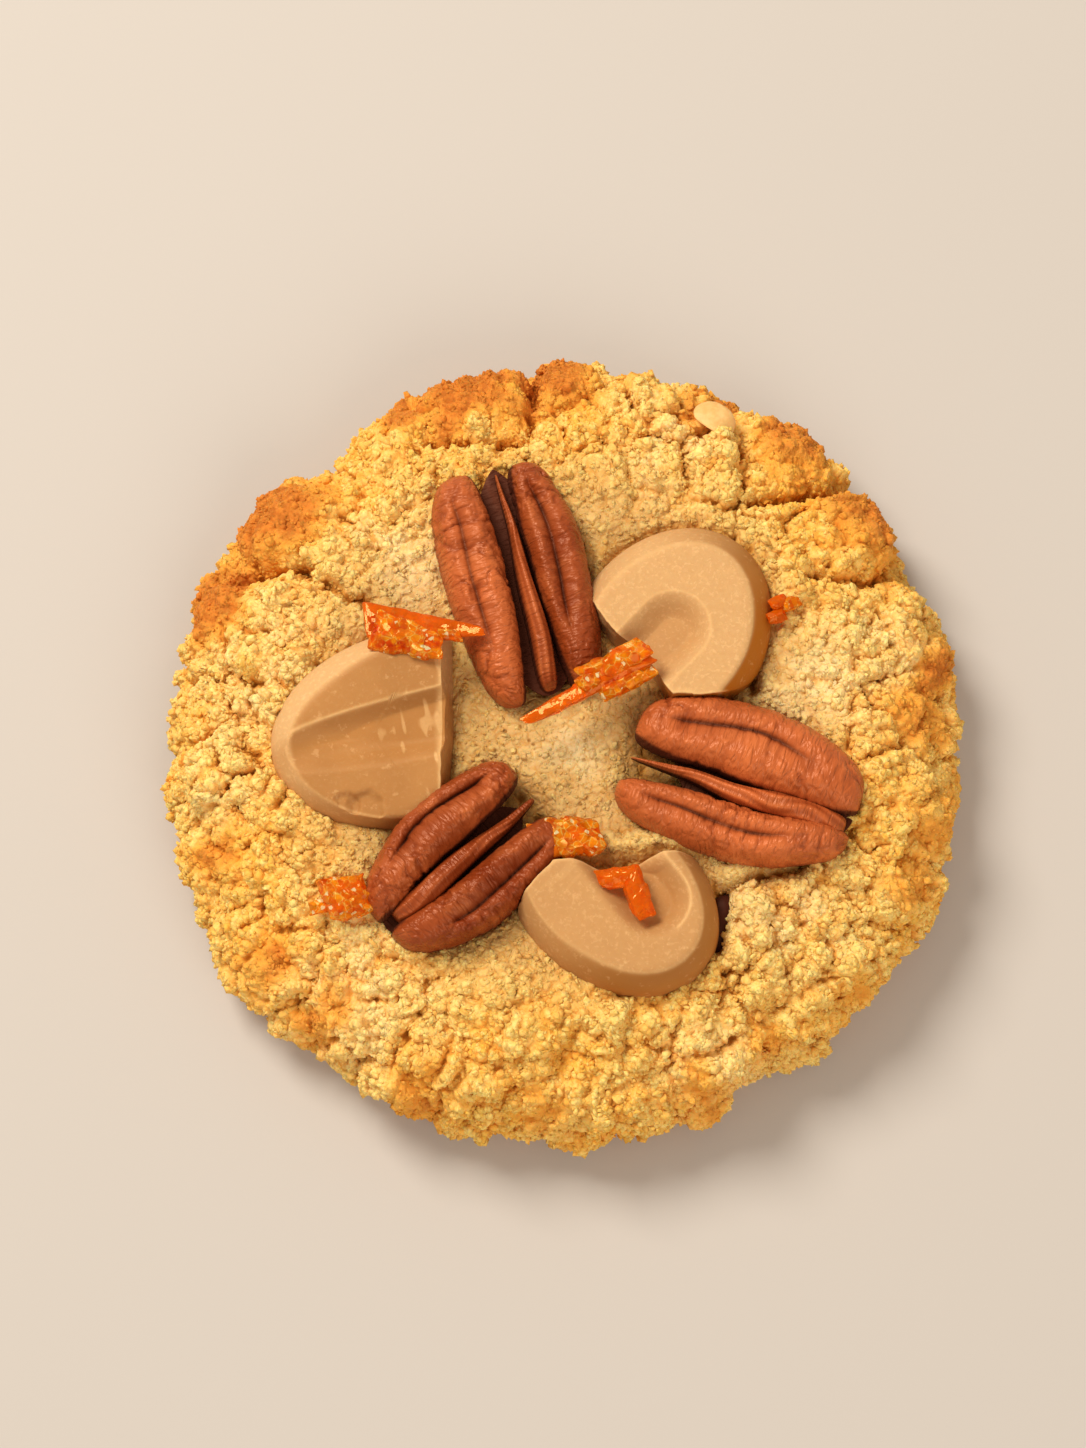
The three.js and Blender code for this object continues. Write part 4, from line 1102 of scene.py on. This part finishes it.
def doughFinish():
    # baked crumb: khaki gold in the middle, golden at the rim, orange brown where it browned; dark in
    # cracks, hollows, pores, seams and beside the toppings, and light on knobs, as painted shade and painted
    # light
    material, shader, flow = newFinish(
        'bakedCrumb', Specular_IOR_Level=0.1, Specular_Tint=(1.0, 0.7, 0.35, 1),
        Subsurface_Weight=0.3, Subsurface_Radius=(1.0, 0.5, 0.2), Subsurface_Scale=0.8 * mm)
    place = flow.place()
    rim, tone, browned = [flow.value(key) for key in ('rim', 'tone', 'browned')]
    pale, cavityShade = flow.value('pale'), flow.value('cavityShade')
    patch = flow.noise(place, 130, 3, 0.6)
    speck = flow.noise(place, 900, 3, 0.65)
    sand = flow.noise(place, 2600, 2, 0.6)
    scale = flow.seams(flow.shifted(place, 800, 0.0007), 900)
    border = (1 - scale.within(0.02, 0.16)) * speck.within(0.35, 0.6)
    # pores: pits in the bump, darkened with painted shade
    hole = (1 - flow.cells(place, 620).within(0.09, 0.2)) * (1 - rim) * patch.within(0.35, 0.6)
    gold = flow.mix(patch.within(0.4, 0.65), (0.97, 0.590, 0.150), (0.98, 0.490, 0.065))
    toast = flow.mix(speck.within(0.35, 0.65), (0.47, 0.118, 0.016), (0.68, 0.205, 0.028))
    colour = flow.painted(
        (0.575, 0.332, 0.112),    # khaki
        (patch.within(0.35, 0.7), (0.66, 0.398, 0.146)),
        (rim * 0.85, gold),    # golden rim
        (pale * 0.6, (1.0, 0.80, 0.42)),    # pale spots
        # painted light on the dough's knobs and painted shade in its hollows; on the grains the tone is
        # random
        (tone.within(0.45, 1.0) * (0.38 + 0.22 * rim), (1.0, 0.78, 0.27)),    # light knobs
        ((1 - tone).within(0.55, 1.0) * 0.5, (0.80, 0.44, 0.09)),    # deeper hollows
        (speck.within(0.55, 0.8) * 0.35, (1.0, 0.76, 0.27)),
        ((1 - sand).within(0.52, 0.72) * 0.2, (0.72, 0.36, 0.07)),
        # painted shade in the seams between flakes
        (border * 0.6, (0.78, 0.54, 0.28), 'MULTIPLY'),    # rims of flakes
        (browned.within(0.02, 0.45) * 0.85, (0.87, 0.385, 0.050)),    # orange, then brown
        (browned.within(0.22, 0.8) * 0.92, toast),
        # painted shade in cracks and hollows and on the dough beside the toppings
        (cavityShade.within(0.0, 0.6) * 0.6, (0.78, 0.56, 0.30), 'MULTIPLY'),    # shade in cracks
        (cavityShade.within(0.5, 1.0) * 0.8, (0.40, 0.25, 0.11), 'MULTIPLY'),
        (hole * 0.8, (0.40, 0.26, 0.14), 'MULTIPLY'))
    rough = 0.72 + 0.2 * sand - 0.2 * browned
    relief = flow.bump(speck + 0.3 * sand - 0.6 * hole + 0.6 * scale.within(0.0, 0.3), 0.3 * mm, 0.7)
    feed(shader, Base_Color=colour, Roughness=rough, Normal=relief)
    return material


# Granules of crumb: how many, their size and tone, where they lie, and how far their middles lie above the
# dough's surface, in shares of their size

crumb = dict(
    kinds=dict(
        sandyCrumbs=dict(number=9600, size=(0.18, 0.42), tone=(0.15, 0.75), where='plateau',
                         sink=(-0.25, -0.7), seed=1),
        paleCrumbs=dict(number=9600, size=(0.24, 0.56), tone=(0.3, 1.0), where='rim',
                        sink=(0.0, -0.6), seed=2),
        goldenCrumbs=dict(number=9600, size=(0.28, 0.7), tone=(0.1, 0.8), where='rim',
                          sink=(0.0, -0.6), seed=3),
        brownedCrumbs=dict(number=6000, size=(0.16, 0.4), tone=(0.1, 0.7), where='browned',
                           sink=(-0.2, -0.8), seed=4)),
    clearGap=0.15, lowest=1.0, stretch=(0.5, 1.4), dent=(0.55, 1.3),
)


def grainShape():
    # an icosahedron: twelve corners of three crossed golden rectangles; its twenty faces are the trios of
    # corners that lie closest together
    golden = (1 + math.sqrt(5)) / 2
    signs = np.array(list(itertools.product((-1, 1), repeat=2)))
    flat = columns(0, signs[:, 0], signs[:, 1] * golden)
    corners = np.vstack([np.roll(flat, k, axis=1) for k in range(3)]) / math.hypot(1, golden)
    trios = np.array(list(itertools.combinations(range(len(corners)), 3)))
    p, q, r = corners[trios.T]
    spread = np.max([lengths(p - q), lengths(q - r), lengths(p - r)], axis=0)
    inward = (np.cross(q - p, r - p) * p).sum(axis=1) < 0
    trios[inward] = trios[inward][:, ::-1]
    return corners, trios[np.argsort(spread, kind='stable')[:20]]


def randomTurns(rng, number):
    # turning matrices of random unit quaternions
    quaternion = rng.normal(size=(number, 4))
    w, x, y, z = (quaternion / lengths(quaternion)[:, None]).T
    rows = [[1 - 2 * (y * y + z * z), 2 * (x * y - w * z), 2 * (x * z + w * y)],
            [2 * (x * y + w * z), 1 - 2 * (x * x + z * z), 2 * (y * z - w * x)],
            [2 * (x * z - w * y), 2 * (y * z + w * x), 1 - 2 * (x * x + y * y)]]
    return np.array(rows).transpose(2, 0, 1)


def addCrumbs(name, kind, points, faces, values, material):
    # dented grains, scattered over the dough by the area of its faces
    rng = np.random.default_rng(kind['seed'])
    number = kind['number']
    p, q, r = points[faces.T]
    normal = np.cross(q - p, r - p)
    area = lengths(normal)
    normal = normal / area[:, None]
    share = {key: value[faces].mean(axis=1) for key, value in values.items()}
    likely = {
        'plateau': (1 - 0.8 * share['rim']) * (1 - share['browned']),
        'rim': (0.04 + share['rim']) * (1 - share['browned']) ** 2,
        'browned': share['browned'] ** 2,
    }[kind['where']]
    clear = (share['gap'] > crumb['clearGap']) & (p[:, 2] > crumb['lowest'])
    weight = area * likely * clear * (1 - 0.5 * share['cavityShade'])
    chosen = rng.choice(len(faces), number, p=weight / weight.sum())
    a, b = rng.random((2, number, 1))
    a, b = np.where(a + b > 1, 1 - a, a), np.where(a + b > 1, 1 - b, b)
    size = lerp(*kind['size'], rng.random(number) ** 2)
    middle = p[chosen] + a * (q - p)[chosen] + b * (r - p)[chosen]
    middle = middle + normal[chosen] * (size * lerp(*kind['sink'], rng.random(number)))[:, None]
    corners, trios = grainShape()
    each = len(corners)
    stretch = rng.uniform(*crumb['stretch'], (number, 1, 3)) * size[:, None, None]
    dent = rng.uniform(*crumb['dent'], (number, each, 1))
    grains = np.einsum('nij,nkj->nki', randomTurns(rng, number), corners * stretch * dent)
    grains = (grains + middle[:, None]).reshape(-1, 3)
    grainFaces = (trios[None] + each * np.arange(number)[:, None, None]).reshape(-1, 3)
    grainValues = {key: np.repeat(share[key][chosen], each) for key in ('browned', 'pale', 'rim')}
    # the grains keep part of the painted shade of the dough beneath them
    grainValues['cavityShade'] = np.repeat(share['cavityShade'][chosen] * 0.7, each)
    grainValues['tone'] = np.repeat(rng.uniform(*kind['tone'], number), each)
    addPiece(name, grains, grainFaces, material, values=grainValues)


def addDough():
    # the body and the crumbs on it, all of one finish
    material = doughFinish()
    points, faces, values = doughShape()
    shown = {key: values[key] for key in ('browned', 'pale', 'rim', 'cavityShade', 'tone')}
    addPiece('doughBody', points, faces, material, 'dough', shown)
    for name, kind in crumb['kinds'].items():
        addCrumbs(name, kind, points, faces, values, material)


addGroup(pecan, pecanShape, pecanFinish(), 'pecan', 'pecanHalf')
addGroup(button, buttonShape, chocolateFinish(), 'chocolate', 'button')
addGroup(brittle, shardShape, brittleFinish(), 'brittle', 'shard')
addFlake()
addChunk()
addDough()
